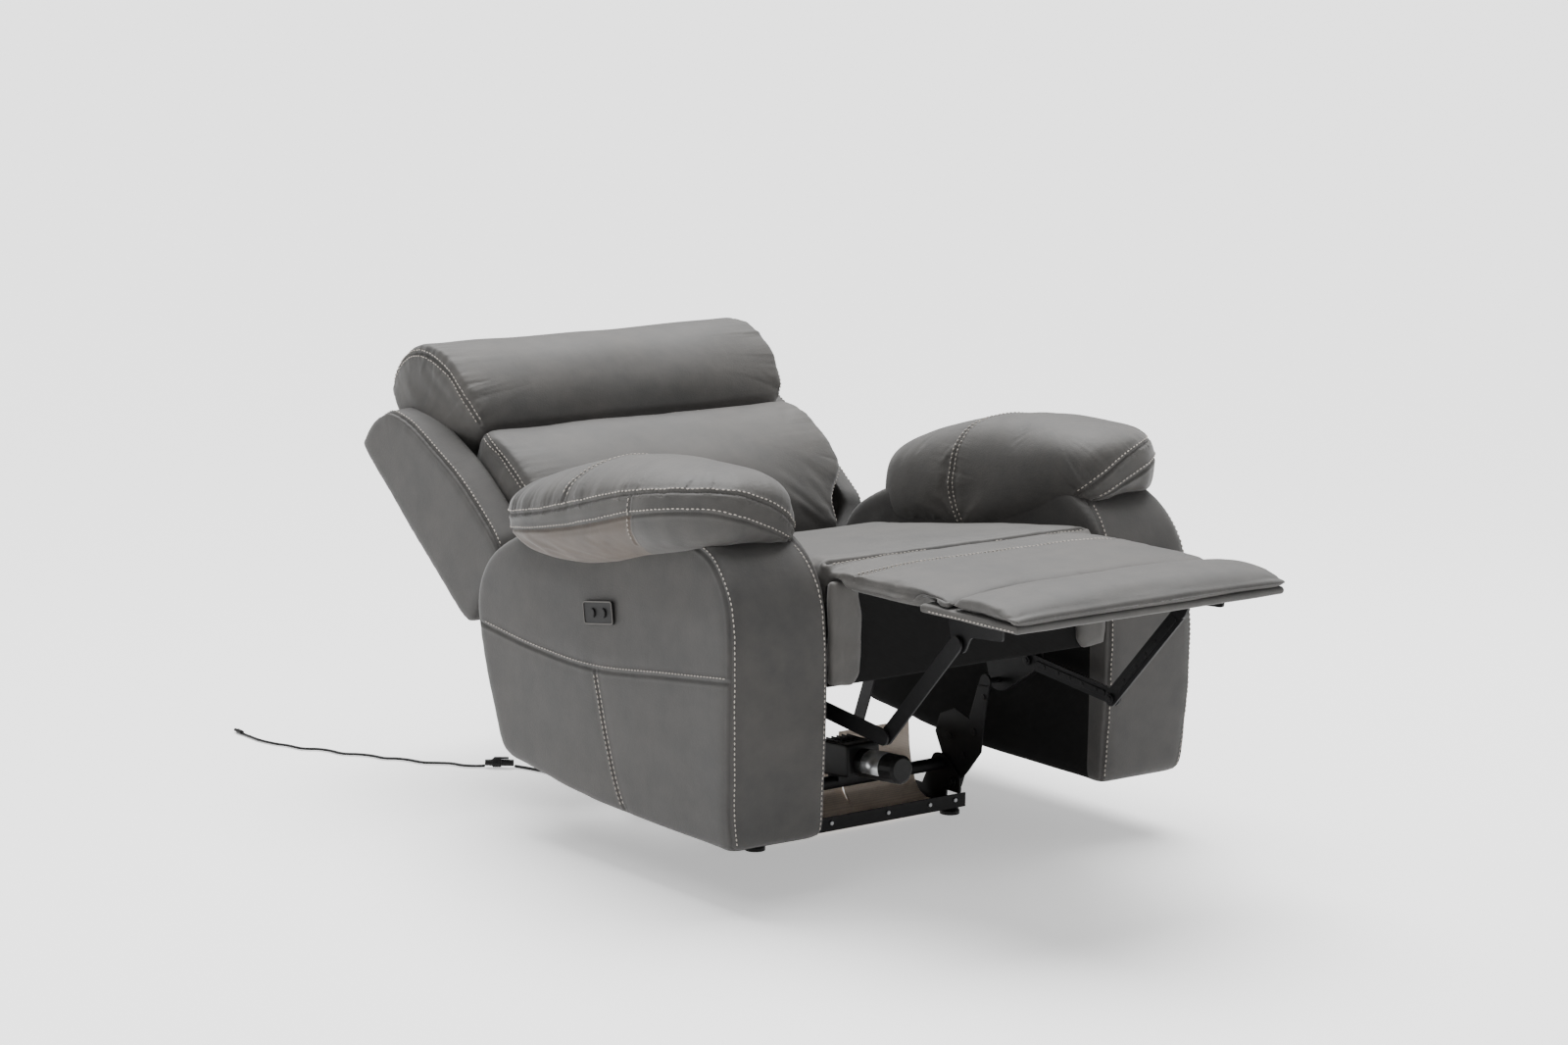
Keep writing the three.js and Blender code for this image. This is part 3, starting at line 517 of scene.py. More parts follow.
def crease(piece, runs, depth=0.0022, width=0.0030, draw=0.0012):
    """Draws the cover in along seams: a narrow groove with soft lips in a shallow hollow."""
    places, normals = points_of(piece), normals_of(piece)
    for run in runs:
        line, _ = snapped(piece, run)
        far, _ = reach(places, line)
        groove = np.exp(-((far / width) ** 2)) - 0.35 * np.exp(-(((far - 2 * width) / width) ** 2))
        hollow = np.exp(-((far / 0.013) ** 2))
        places = places - normals * (depth * groove + draw * hollow)[:, None]
    put_points(piece, places)


def gather(piece, run, spread=0.05, wave=0.022, depth=0.003, seed=0.0, side=None):
    """Puckers that start at a seam and die away from it."""
    places, normals = points_of(piece), normals_of(piece)
    line, _ = snapped(piece, run)
    far, number = reach(places, line)
    pitch = (line[1] - line[0]).length or 0.004
    ridge = np.array(
        [
            noise.noise(Vector((i * pitch / wave, seed, 0.3)))
            + 0.5 * noise.noise(Vector((i * pitch / wave * 2.1, seed + 7.0, 0.9)))
            for i in range(len(line))
        ]
    )
    ridge = ridge[number]
    fade = np.exp(-far / spread) * (1 - np.exp(-far / 0.006))
    length = np.array(
        [
            0.55 + 0.9 * abs(noise.noise(Vector((i * pitch / 0.035, seed + 3.0, 1.7))))
            for i in range(len(line))
        ]
    )[number]
    fade = fade * np.clip(length, 0.3, 1.3)
    if side is not None:
        middle = np.array([tuple(p) for p in line])[number]
        lean = (places - middle) @ np.array(tuple(side))
        fade = fade * (lean > -0.004)
    places = places + normals * (depth * ridge * fade)[:, None]
    put_points(piece, places)


def soften(piece, depth=0.002, scale=9.0, seed=0.0):
    """Slow hollows and swells of a filled cover."""
    places, normals = points_of(piece), normals_of(piece)
    swell = np.array([noise.noise(Vector(p) * scale + Vector((seed, 0, 0))) for p in places])
    put_points(piece, places + normals * (depth * swell)[:, None])


def inflate(piece, runs, cap, pressure=4.0):
    """Swells a cover under pressure between its seams, held to a largest move."""
    places, normals = points_of(piece), normals_of(piece)
    far = np.full(len(places), 9.0)
    for run in runs:
        line, _ = snapped(piece, run)
        far = np.minimum(far, reach(places, line)[0])
    free = 1 - np.exp(-far / 0.02)
    rest = places - normals * (0.3 * cap * free)[:, None]
    put_points(piece, rest)
    modifier = piece.modifiers.new("Cloth", "CLOTH")
    cloth = modifier.settings
    cloth.quality = 5
    cloth.mass = 0.3
    cloth.tension_stiffness = 18
    cloth.compression_stiffness = 12
    cloth.bending_stiffness = 0.6
    cloth.use_pressure = True
    cloth.uniform_pressure_force = pressure
    cloth.effector_weights.gravity = 0.0
    group = piece.vertex_groups.new(name="pin")
    group.add([int(i) for i in np.where(far < 0.005)[0]], 1.0, "REPLACE")
    cloth.vertex_group_mass = "pin"
    modifier.point_cache.frame_start = 1
    modifier.point_cache.frame_end = SIM_FRAMES
    for step in range(1, SIM_FRAMES + 1):
        bpy.context.scene.frame_set(step)
    ready = piece.evaluated_get(bpy.context.evaluated_depsgraph_get())
    flat = np.empty(len(ready.data.vertices) * 3, np.float32)
    ready.data.vertices.foreach_get("co", flat)
    moved = flat.reshape(-1, 3) - rest
    size = np.linalg.norm(moved, axis=1, keepdims=True)
    moved = moved * np.where(size > 0, cap * np.tanh(size / cap) / np.maximum(size, 1e-9), 0)
    piece.modifiers.clear()
    piece.vertex_groups.clear()
    put_points(piece, rest + moved)
    bpy.context.scene.frame_set(1)


SIM_FRAMES = 15


def near_runs(piece, runs, width):
    """Numbers of the points that lie along some seams."""
    places = points_of(piece)
    found = np.zeros(len(places), bool)
    for run in runs:
        line, _ = snapped(piece, run)
        found |= reach(places, line)[0] < width
    return np.where(found)[0]


def stitch(name, piece, rows, body, material):
    """Thread laid along seams: one small grain of thread for each stitch."""
    sizes = bpy.context.scene.recliner_sizes
    tree = BVHTree.FromObject(piece, bpy.context.evaluated_depsgraph_get())
    bm = bmesh.new()
    for run, offset in rows:
        line = evenly(run, sizes.stitch_pitch)
        facing = [tree.find_nearest(p)[1] for p in line]
        for i in range(1, len(line) - 1):
            way = (line[i + 1] - line[i - 1]).normalized()
            out = sum(facing[max(i - 3, 0) : i + 4], Vector()).normalized()
            place, out = tree.find_nearest(line[i] + way.cross(out).normalized() * offset)[:2]
            across = way.cross(out).normalized()
            place += out * sizes.thread_radius * 0.45
            turn = Matrix((way, across, out)).transposed().to_4x4()
            size = Matrix.Diagonal(
                (sizes.stitch_pitch * 0.36, sizes.thread_radius, sizes.thread_radius, 1)
            )
            matrix = Matrix.Translation(place) @ turn @ size
            bmesh.ops.create_icosphere(bm, subdivisions=1, radius=1.0, matrix=matrix)
    made = keep(name, bm, material)
    dress(made, body)
    return made


def both(run, gap=0.0045):
    return [(run, -gap), (run, gap)]


def dress(piece, body, nodes=()):
    """Hands a finished piece to the frame."""
    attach(piece, body)
    if nodes:
        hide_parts(*nodes)
    return piece


def across_x(name, outline, near, far, bevel, material, steps=5):
    """A side-plane outline spanned from one x to another, in millimetres."""
    low, high = min(near, far), max(near, far)
    ring = flowing([mm(low, y, z) for y, z in outline], steps, closed=True)
    return keep(name, slab_mesh(ring, Vector(((high - low) / 1000, 0, 0)), bevel / 1000), material)


# ---- Shapes of the upholstery, in millimetres ----
ARM_OUTLINE = (
    (0, 99), (-7, 160), (-12, 250), (-13, 343), (-8, 430), (10, 500), (48, 548), (106, 575),
    (190, 584), (300, 580), (420, 560), (530, 528), (612, 495), (668, 460), (700, 410),
    (701, 350), (680, 270), (655, 200), (637, 148), (612, 125), (540, 117), (440, 106),
    (330, 99), (160, 97), (40, 97),
)
# How far the arm's outer face stands from its inner face, by height.
ARM_TAPER = (
    (98, 0.955), (150, 0.985), (240, 1.0), (350, 1.0), (450, 0.97), (520, 0.92), (585, 0.86),
)

# Pad, from front to rear: its crown, its outer and inner lower edges and its width on each side.
PAD_STATIONS = (
    (44, 600, 578, 568, 0.12, 0.36), (47, 622, 572, 564, 0.22, 0.55),
    (56, 645, 567, 561, 0.34, 0.72), (70, 658, 562, 557, 0.50, 0.84),
    (95, 668, 558, 551, 0.68, 0.92), (130, 674, 552, 541, 0.84, 0.97),
    (175, 676, 544, 526, 0.93, 1.0), (235, 676, 532, 508, 0.98, 1.0),
    (305, 671, 511, 490, 1.0, 1.0), (380, 658, 495, 474, 1.0, 1.0),
    (450, 641, 486, 465, 1.0, 1.0), (515, 622, 486, 459, 0.97, 1.0),
    (560, 606, 494, 456, 0.89, 0.97), (588, 592, 504, 462, 0.76, 0.90),
    (603, 574, 518, 482, 0.56, 0.74), (608, 558, 532, 505, 0.38, 0.56),
)
PAD_MIDDLE = 401
PAD_HALF = 117
# Section of the pad: across from the inner side (-1) to the outer (1), and up from its edge.
PAD_SECTION = (
    (-0.96, -0.06), (-1.04, 0.03), (-1.07, 0.22), (-1.05, 0.48), (-0.94, 0.76), (-0.62, 0.94),
    (-0.08, 1.0), (0.42, 0.96), (0.78, 0.84), (0.95, 0.70), (1.01, 0.55), (1.0, 0.40),
    (0.96, 0.18), (0.84, 0.02), (0.55, -0.02), (0.0, 0.02), (-0.55, 0.0),
)

HEAD_PROFILE = (
    (244, 66), (243, 150), (244, 214), (260, 242), (300, 260), (352, 267), (404, 258),
    (446, 236), (477, 206), (495, 166), (501, 120), (490, 80), (464, 62),
)
LUMBAR_PROFILE = (
    (-70, 66), (-86, 110), (-88, 165), (-74, 208), (-40, 236), (20, 256), (90, 266), (160, 262),
    (212, 246), (240, 222), (246, 150), (246, 66),
)
WING_PROFILE = (
    (6, 2), (120, -1), (300, -1), (424, 3), (435, 22), (432, 60), (420, 92), (396, 122),
    (340, 147), (260, 164), (170, 178), (60, 180), (20, 176), (4, 150), (0, 60),
)
SEAT_PROFILE = (
    (606, 352), (608, 400), (600, 436), (570, 449), (450, 468), (300, 491), (160, 511),
    (60, 524), (20, 526), (-20, 527), (-60, 526), (-150, 529), (-230, 527), (-276, 521),
    (-282, 513), (-276, 506), (-150, 506), (-20, 506), (8, 502), (18, 480), (19, 440), (36, 424),
    (200, 402), (400, 372), (560, 348),
)
LIP_PROFILE = (
    (-283, 507), (-281, 518), (-287, 529), (-304, 535), (-340, 537), (-385, 534), (-415, 527),
    (-431, 516), (-434, 508), (-424, 505), (-350, 505),
)


def arm_thickness(z):
    heights, shares = zip(*ARM_TAPER)
    return np.interp(z * 1000, heights, shares)


# ---- Pieces ----
class RECLINER_OT_arms(bpy.types.Operator):
    """Taut arm shells with their panel seams"""

    bl_idname = "recliner.arms"
    bl_label = "Arms"

    def execute(self, context):
        sizes, colours = context.scene.recliner_sizes, context.scene.recliner_colours
        # Arm shells take the side colour: the pad microfibre with painted shade.
        cover = microfibre("arm_shaded_microfibre", colours.side)
        cotton = bpy.data.materials["seam_thread"]
        for name, side in SIDES:
            arm = across_x(f"arm_{name}", ARM_OUTLINE, side * 285, side * 479, 24, cover)
            remesh(arm, sizes.voxel * 1.15, 8)
            places = points_of(arm)
            inner = side * 0.285
            share = arm_thickness(places[:, 2])
            places[:, 0] = inner + (places[:, 0] - inner) * share
            middle = np.exp(-(((places[:, 1] - FRONT - 0.33) / 0.26) ** 2))
            upright = np.exp(-(((places[:, 2] - 0.33) / 0.2) ** 2))
            outer = np.abs(places[:, 0]) > 0.44
            places[:, 0] += side * 0.004 * middle * upright * outer
            put_points(arm, places)
            refine(arm)
            soften(arm, 0.0016, 7.0, 3.0 * side)
            front = run_through(
                [
                    (side * x, y, z)
                    for x, y, z in (
                        (462, 0, 101), (471, -4, 152), (477, -9, 220), (479, -11, 300),
                        (479, -9, 380), (477, 0, 455), (473, 24, 503), (466, 70, 545),
                        (458, 122, 560), (446, 170, 570),
                    )
                ]
            )
            inside = run_through(
                [
                    (side * x, y, z)
                    for x, y, z in (
                        (291, 0, 103), (291, -8, 200), (290, -12, 300), (291, -10, 400),
                        (293, 2, 470), (298, 26, 522), (306, 70, 560),
                    )
                ]
            )
            level = run_through(
                [
                    (side * 480, y, z)
                    for y, z in ((-2, 367), (170, 346), (347, 325), (520, 327), (690, 341))
                ]
            )
            upright_seam = run_through(
                [(side * 480, y, z) for y, z in ((347, 322), (315, 215), (278, 99))]
            )
            front, level, inside, upright_seam = lay(arm, front, level, inside, upright_seam)
            finer(arm, [front, level, inside, upright_seam])
            crease(arm, [front, level, inside, upright_seam])
            gather(arm, front, 0.016, 0.03, 0.0012, 5.0 * side)
            gather(arm, level, 0.018, 0.06, 0.0010, 2.0)
            # Inner faces under the seat and the downward bottoms get the black cambric: partly black lining cloth,
            # partly painted shade for the dark under the seat.
            arm.data.materials.append(bpy.data.materials["black_cambric"])
            for face in arm.data.polygons:
                x, y, z = face.center
                inner_lining_and_shade = side * x < 0.300 and y > FRONT + 0.030 and z < 0.425
                if inner_lining_and_shade or face.normal.z < -0.8 and z < 0.2:
                    face.material_index = 1
            dress(arm, "carriage", (f"arm_shell_{name}",))
            rows = [(front, -0.0065 * side), (inside, 0.0055 * side), (level, -0.0065 * side)]
            stitch(f"arm_stitching_{name}", arm, rows + both(upright_seam), "carriage", cotton)
        return {"FINISHED"}


def pad_point(side, station, across, up):
    y, crown, outer, inner, far, near = station
    edge = outer + (inner - outer) * min(max(-across, 0.0), 1.0)
    width = PAD_HALF * across * (far if across > 0 else near)
    return mm(side * (PAD_MIDDLE + width), y, edge + (crown - edge) * up)


class RECLINER_OT_arm_pads(bpy.types.Operator):
    """Stuffed arm pads with a boxing band and gathered tops"""

    bl_idname = "recliner.arm_pads"
    bl_label = "Arm pads"

    def execute(self, context):
        sizes, colours = context.scene.recliner_sizes, context.scene.recliner_colours
        cover = microfibre("pad_microfibre", colours.pad)
        taupe = microfibre("taupe_microfibre", colours.taupe)
        cotton = bpy.data.materials["seam_thread"]
        for name, side in SIDES:
            rings = [
                flowing([pad_point(side, station, a, u) for a, u in PAD_SECTION], 3, closed=True)
                for station in PAD_STATIONS
            ]
            pad = keep(f"arm_pad_cover_{name}", loft_mesh(rings), cover)
            remesh(pad, sizes.voxel * 0.85, 10)

            def seam(*places):
                return run_through([(side * x, y, z) for x, y, z in places])

            upper = seam(
                (462, 606, 545), (490, 585, 541), (512, 518, 553), (517, 428, 573),
                (517, 319, 603), (513, 212, 633), (494, 130, 648), (456, 80, 650),
                (402, 54, 640), (365, 47, 626), (336, 50, 608), (310, 60, 588), (294, 84, 566),
            )
            lower = seam(
                (458, 606, 522), (486, 583, 516), (510, 518, 526), (517, 428, 542),
                (519, 318, 567), (516, 212, 596), (499, 130, 612), (465, 78, 616),
                (437, 60, 611), (402, 48, 600), (364, 45, 584), (334, 48, 568), (308, 60, 554),
            )
            across = seam(
                (288, 362, 480), (284, 385, 532), (298, 386, 592), (345, 380, 636),
                (415, 374, 651), (470, 380, 634), (510, 392, 590),
            )
            join = seam(
                (513, 212, 630), (520, 212, 610), (517, 212, 594), (512, 214, 560), (498, 218, 540)
            )
            inflate(pad, [upper, lower, across], 0.012)
            refine(pad)
            upper, lower, across, join = lay(pad, upper, lower, across, join)
            finer(pad, [upper, lower, across, join])
            crease(pad, [upper, lower, across], 0.0026, 0.0032, 0.0022)
            crease(pad, [join], 0.0016, 0.0028, 0.0008)
            up = Vector((0, 0, 1))
            gather(pad, upper, 0.030, 0.014, 0.0042, 11.0 * side, up)
            gather(pad, upper, 0.06, 0.036, 0.0036, 4.0 * side, up)
            gather(pad, across, 0.03, 0.026, 0.0022, 2.0)
            gather(pad, lower, 0.02, 0.03, 0.0012, 7.0, -up)
            soften(pad, 0.0022, 9.0, 5.0 * side)
            pad.data.materials.append(taupe)
            centres = np.array([tuple(face.center) for face in pad.data.polygons])
            far, number = reach(centres, lower)
            under = centres[:, 2] < np.array([p.z for p in lower])[number]
            rear = (centres[:, 1] > FRONT + 0.212) & (side * centres[:, 0] > 0.44) & (far < 0.11)
            for index in np.where(under & rear)[0]:
                pad.data.polygons[int(index)].material_index = 1
            dress(pad, "carriage", (f"arm_pad_{name}",))
            rows = [(upper, 0.006 * side), (lower, 0.006 * side), (join, 0.004)]
            stitch(f"pad_stitching_{name}", pad, rows + both(across, 0.006), "carriage", cotton)
        return {"FINISHED"}


def back_run(places, pitch=0.004):
    return evenly(flowing([on_back(*p) for p in places], 8), pitch)


def back_slab(name, profile, half, bevel, material):
    ring = flowing([on_back(-half, v, w) for v, w in profile], 5, closed=True)
    return keep(name, slab_mesh(ring, Vector((2 * half / 1000, 0, 0)), bevel / 1000, 4), material)


def back_frame(places):
    """Distances across, up and out of the back for an array of points, in millimetres."""
    start = np.array(tuple(on_back(0, 0, 0)))
    away = (places - start) * 1000
    return places[:, 0] * 1000, away @ np.array(tuple(BACK_UP)), away @ np.array(tuple(BACK_OUT))


class RECLINER_OT_back_cushions(bpy.types.Operator):
    """Head roll and lumbar cushion"""

    bl_idname = "recliner.back_cushions"
    bl_label = "Back cushions"

    def execute(self, context):
        sizes, colours = context.scene.recliner_sizes, context.scene.recliner_colours
        cover = microfibre("back_microfibre", colours.pad)
        cotton = bpy.data.materials["seam_thread"]
        out = np.array(tuple(BACK_OUT))
        head = back_slab("head_roll", HEAD_PROFILE, 340, 30, cover)
        remesh(head, sizes.voxel, 10)
        places = points_of(head)
        x, v, w = back_frame(places)
        swell = np.sin(np.clip((v - 246) / 245, 0, 1) * math.pi)
        set_back = np.clip((205 - w) / 60, 0, 1)
        places[:, 0] += np.sign(x) * 0.018 * swell * (np.abs(x) / 340) ** 6 * set_back
        places[:, 0] *= 1 - 0.03 * np.clip((320 - v) / 75, 0, 1)
        fall = 0.002 * swell * (np.abs(x) / 340) ** 4 * np.clip((w - 120) / 100, 0, 1)
        put_points(head, places - out * fall[:, None])
        side_seams = [
            back_run(
                [
                    (s * a, v, w)
                    for a, v, w in (
                        (330, 248, 228), (334, 300, 238), (337, 360, 240), (339, 420, 224),
                        (341, 462, 196), (341, 484, 160), (341, 490, 120), (340, 482, 90),
                    )
                ]
            )
            for s in (-1, 1)
        ]
        low_seam = back_run([(a, 247, 225) for a in (-330, -200, 0, 200, 330)])
        inflate(head, side_seams + [low_seam], 0.016)
        refine(head)
        side_seams = lay(head, *side_seams)
        finer(head, side_seams)
        crease(head, side_seams, 0.0028, 0.0032, 0.0026)
        for k, run in enumerate(side_seams):
            gather(head, run, 0.045, 0.022, 0.0046, 3.0 + k)
            gather(head, run, 0.018, 0.010, 0.0012, 9.0 + k)
        gather(head, low_seam, 0.03, 0.05, 0.0022, 6.0)
        soften(head, 0.0034, 7.0, 1.0)
        dress(head, "back", ("head_cushion",))
        rows = [row for run in side_seams for row in both(run, 0.005)]
        stitch("head_stitching", head, rows, "back", cotton)

        lumbar = back_slab("lumbar_pad", LUMBAR_PROFILE, 330, 30, cover)
        remesh(lumbar, sizes.voxel, 10)
        places = points_of(lumbar)
        x, v, w = back_frame(places)
        narrow = np.clip((62 - v) / 90, 0, 1)
        narrow = narrow * narrow * (3 - 2 * narrow)
        places[:, 0] *= 1 - 0.165 * narrow
        fall = 0.004 * (np.abs(x) / 330) ** 4 * np.clip((w - 120) / 100, 0, 1)
        put_points(lumbar, places - out * fall[:, None])
        edge_seams = [
            back_run(
                [
                    (s * a, v, w)
                    for a, v, w in (
                        (328, 238, 222), (330, 200, 228), (330, 140, 236), (327, 90, 238),
                        (310, 40, 234), (284, -10, 226), (272, -60, 205),
                    )
                ]
            )
            for s in (-1, 1)
        ]
        top_seam = back_run([(a, 240, 226) for a in (-326, -200, 0, 200, 326)])
        inflate(lumbar, edge_seams + [top_seam], 0.018)
        refine(lumbar)
        *edge_seams, top_seam = lay(lumbar, *edge_seams, top_seam)
        finer(lumbar, edge_seams + [top_seam])
        crease(lumbar, edge_seams, 0.0028, 0.0032, 0.0026)
        crease(lumbar, [top_seam], 0.0018, 0.0030, 0.0014)
        for k, run in enumerate(edge_seams):
            gather(lumbar, run, 0.05, 0.024, 0.0046, 13.0 + k)
            gather(lumbar, run, 0.02, 0.011, 0.0012, 19.0 + k)
        gather(lumbar, top_seam, 0.03, 0.05, 0.0020, 16.0)
        soften(lumbar, 0.0034, 6.0, 8.0)
        dress(lumbar, "back", ("lumbar_cushion",))
        rows = [row for run in edge_seams for row in both(run, 0.005)]
        stitch("lumbar_stitching", lumbar, rows + [(top_seam, 0.0)], "back", cotton)
        return {"FINISHED"}


class RECLINER_OT_back_shell(bpy.types.Operator):
    """Wings, the top rail's cover and the outside back"""

    bl_idname = "recliner.back_shell"
    bl_label = "Back shell"

    def execute(self, context):
        sizes, colours = context.scene.recliner_sizes, context.scene.recliner_colours
        # Wings, the top rail's cover and the rear panel take the side colour: the pad microfibre with painted
        # shade.
        cover = microfibre("wing_shaded_microfibre", colours.side)
        cotton = bpy.data.materials["seam_thread"]
        for name, side in SIDES:
            near, far = sorted((side * 336, side * 394))
            ring = flowing([on_back(near, v, w) for v, w in WING_PROFILE], 5, closed=True)
            wing = keep(
                f"wing_cover_{name}",
                slab_mesh(ring, Vector(((far - near) / 1000, 0, 0)), 0.014, 4),
                cover,
            )
            remesh(wing, sizes.voxel * 0.8, 6)
            places = points_of(wing)
            x, v, w = back_frame(places)
            rise = np.clip((394 - np.abs(x)) / 58, 0, 1) * np.clip((w - 90) / 80, 0, 1)
            out = np.array(tuple(BACK_OUT))
            put_points(wing, places + out * (0.022 * rise * (v < 410))[:, None])
            refine(wing)
            soften(wing, 0.0018, 8.0, 4.0 * side)
            seam = back_run(
                [
                    (side * 388, v, w)
                    for v, w in (
                        (424, 84), (404, 112), (345, 142), (260, 161), (170, 176), (60, 178),
                        (14, 172),
                    )
                ]
            )
            (seam,) = lay(wing, seam)
            finer(wing, [seam])
            crease(wing, [seam])
            gather(wing, seam, 0.014, 0.03, 0.0014, 3.0 * side)
            dress(wing, "back", (f"wing_{name}",))
            stitch(f"wing_stitching_{name}", wing, [(seam, 0.0065 * side)], "back", cotton)

        rail = frame["nodes"]["back_top_rail"]
        mesh = rail.data.copy()
        mesh.transform(rail.matrix_world)
        mesh.materials.clear()
        mesh.materials.append(cover)
        wrap = bpy.data.objects.new("top_rail_wrap", mesh)
        context.scene.collection.objects.link(wrap)
        put_points(wrap, points_of(wrap) + normals_of(wrap) * 0.0008)
        dress(wrap, "back", ("back_top_rail",))

        rear = [(-334, -58), (334, -58), (334, 426), (-334, 426)]
        ring = [on_back(a, v, -1) for a, v in rear]
        panel = keep("rear_panel", slab_mesh(ring, BACK_OUT * 0.009, 0.003, 2), cover)
        remesh(panel, sizes.voxel * 0.6, 2)
        low = back_run([(a, 150, -2) for a in (-330, 0, 330)])
        crease(panel, [low], 0.0025, 0.006)
        soften(panel, 0.0012, 6.0, 9.0)
        dress(panel, "back", ("back_panel",))
        stitch("rear_stitching", panel, both(low, 0.005), "back", cotton)
        return {"FINISHED"}


def crown_across(piece, half, drop, low):
    """Lets a flat cushion fall away towards its two sides."""
    places = points_of(piece)
    share = np.clip(np.abs(places[:, 0]) * 1000 / half, 0, 1) ** 3.5
    upper = np.clip((places[:, 2] - low) / 0.012, 0, 1)
    places[:, 2] -= drop * share * upper
    put_points(piece, places)


class RECLINER_OT_seat(bpy.types.Operator):
    """Seat and chaise in one cover, the lip pad and the covered footboard"""

    bl_idname = "recliner.seat"
    bl_label = "Seat and footrest"

    def execute(self, context):
        sizes, colours = context.scene.recliner_sizes, context.scene.recliner_colours
        cover = microfibre("seat_microfibre", colours.pad)
        cotton = bpy.data.materials["seam_thread"]
        seat = across_x("seat_and_chaise", SEAT_PROFILE, -276, 276, 9, cover)
        remesh(seat, sizes.voxel, 6)
        places = points_of(seat)
        chaise = places[:, 1] < FRONT + 0.018
        share = np.clip(np.abs(places[:, 0]) / 0.276, 0, 1) ** 4
        places[:, 2] -= np.where(chaise & (places[:, 2] > 0.514), 0.010 * share, 0)
        back_y = (places[:, 1] - FRONT) * 1000
        edge = np.clip((np.abs(places[:, 0]) - 0.238) / 0.012, 0, 1)
        edge *= np.clip((back_y + 208) / 20, 0, 1) * np.clip((-10 - back_y) / 25, 0, 1)
        places[:, 2] -= np.where(places[:, 2] < 0.513, 0.013 * edge, 0)
        put_points(seat, places)
        seams = [
            run_through([(x, y, 527) for x in (-266, -140, 0, 140, 266)]) for y in (28, -47)
        ]
        inflate(seat, seams, 0.007, 2.0)
        refine(seat)
        seams = lay(seat, *seams)
        finer(seat, seams)
        crease(seat, seams[:1], 0.0050, 0.0040, 0.0020)
        crease(seat, seams[1:], 0.0024, 0.0032, 0.0010)
        for k, run in enumerate(seams):
            gather(seat, run, 0.03, 0.045, 0.0018, 2.0 + 5 * k)
        edges = [
            run_through([(s * 277, -20, 512), (s * 277, -150, 512), (s * 277, -276, 511)])
            for s in (-1, 1)
        ]
        crease(seat, edges, 0.0022, 0.004)
        soften(seat, 0.0022, 8.0, 2.0)
        mm(0, 14, 510)
        mm(0, -46, 510)
        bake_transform(seat)
        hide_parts("seat_cushion", "chaise_pad")
        stitch("seat_stitching", seat, [(seams[0], 0.009)], "carriage", cotton)
        stitch("chaise_stitching", seat, both(seams[1], 0.006), "footrest", cotton)

        lip = across_x("lip_pad", LIP_PROFILE, -277, 277, 7, cover)
        remesh(lip, sizes.voxel * 0.75, 5)
        piping = run_through([(x, -433, 510) for x in (-274, 0, 274)])
        inflate(lip, [piping], 0.007, 2.5)
        crown_across(lip, 277, 0.010, 0.512)
        refine(lip)
        crease(lip, [piping], 0.002, 0.004)
        soften(lip, 0.0022, 9.0, 6.0)
        gather(lip, run_through([(s, -420, 522) for s in (-274, 0, 274)]), 0.03, 0.07, 0.0016, 8.0)
        dress(lip, "footrest", ("footrest_lip_pad",))

        ring = [mm(x, y, 491.5) for x, y in ((-271, -430), (271, -430), (281, -217), (-281, -217))]
        board = keep("footboard_cover", slab_mesh(ring, Vector((0, 0, 0.0135)), 0.004, 3), cover)
        remesh(board, 0.0035, 2)
        soften(board, 0.0008, 14.0, 4.0)
        dress(board, "footrest", ("footrest_board",))
        hem = run_through([(-272, -428, 496), (-276, -330, 496), (-280, -222, 496)])
        stitch("footboard_stitching", board, [(hem, 0.0)], "footrest", cotton)
        return {"FINISHED"}


class RECLINER_OT_seat_front(bpy.types.Operator):
    """Black cloth front of the seat box between two wrapped ends"""

    bl_idname = "recliner.seat_front"
    bl_label = "Seat front"

    def execute(self, context):
        cloth = bpy.data.materials["black_cambric"]
        cover = bpy.data.materials["seat_microfibre"]
        panel = frame["nodes"]["seat_front_panel"]
        paint(panel, cloth)
        for name, side in SIDES:
            ring = [
                mm(side * x, -13, z)
                for x, z in ((283, 338), (284, 502), (232, 502), (224, 440), (226, 350), (240, 334))
            ]
            slab = slab_mesh(ring, Vector((0, 0.022, 0)), 0.009, 4)
            wrap = keep(f"seat_wrap_{name}", slab, cover)
            remesh(wrap, 0.004, 6)
            run = run_through([(side * 262, -12, z) for z in (336, 420, 496)])
            gather(wrap, run, 0.04, 0.030, 0.0050, 3.0 * side)
            soften(wrap, 0.003, 18.0, 5.0 * side)
            dress(wrap, "carriage", ())
        return {"FINISHED"}


def disc(bm, radius, depth, place, axis, sides=16, bevel=0.0):
    """A short round piece with a softened rim, standing along an axis."""
    turn = Vector((0, 0, 1)).rotation_difference(axis).to_matrix().to_4x4()
    matrix = Matrix.Translation(place + axis * depth / 2) @ turn
    made = bmesh.ops.create_cone(
        bm, cap_ends=True, segments=sides, radius1=radius, radius2=radius, depth=depth,
        matrix=matrix,
    )
    if bevel:
        rims = {e for v in made["verts"] for e in v.link_edges}
        rims = [e for e in rims if abs((e.verts[0].co - e.verts[1].co).dot(axis)) < depth * 0.2]
        bmesh.ops.bevel(
            bm, geom=rims, offset=bevel, segments=2, affect="EDGES", profile=0.5, material=-1
        )


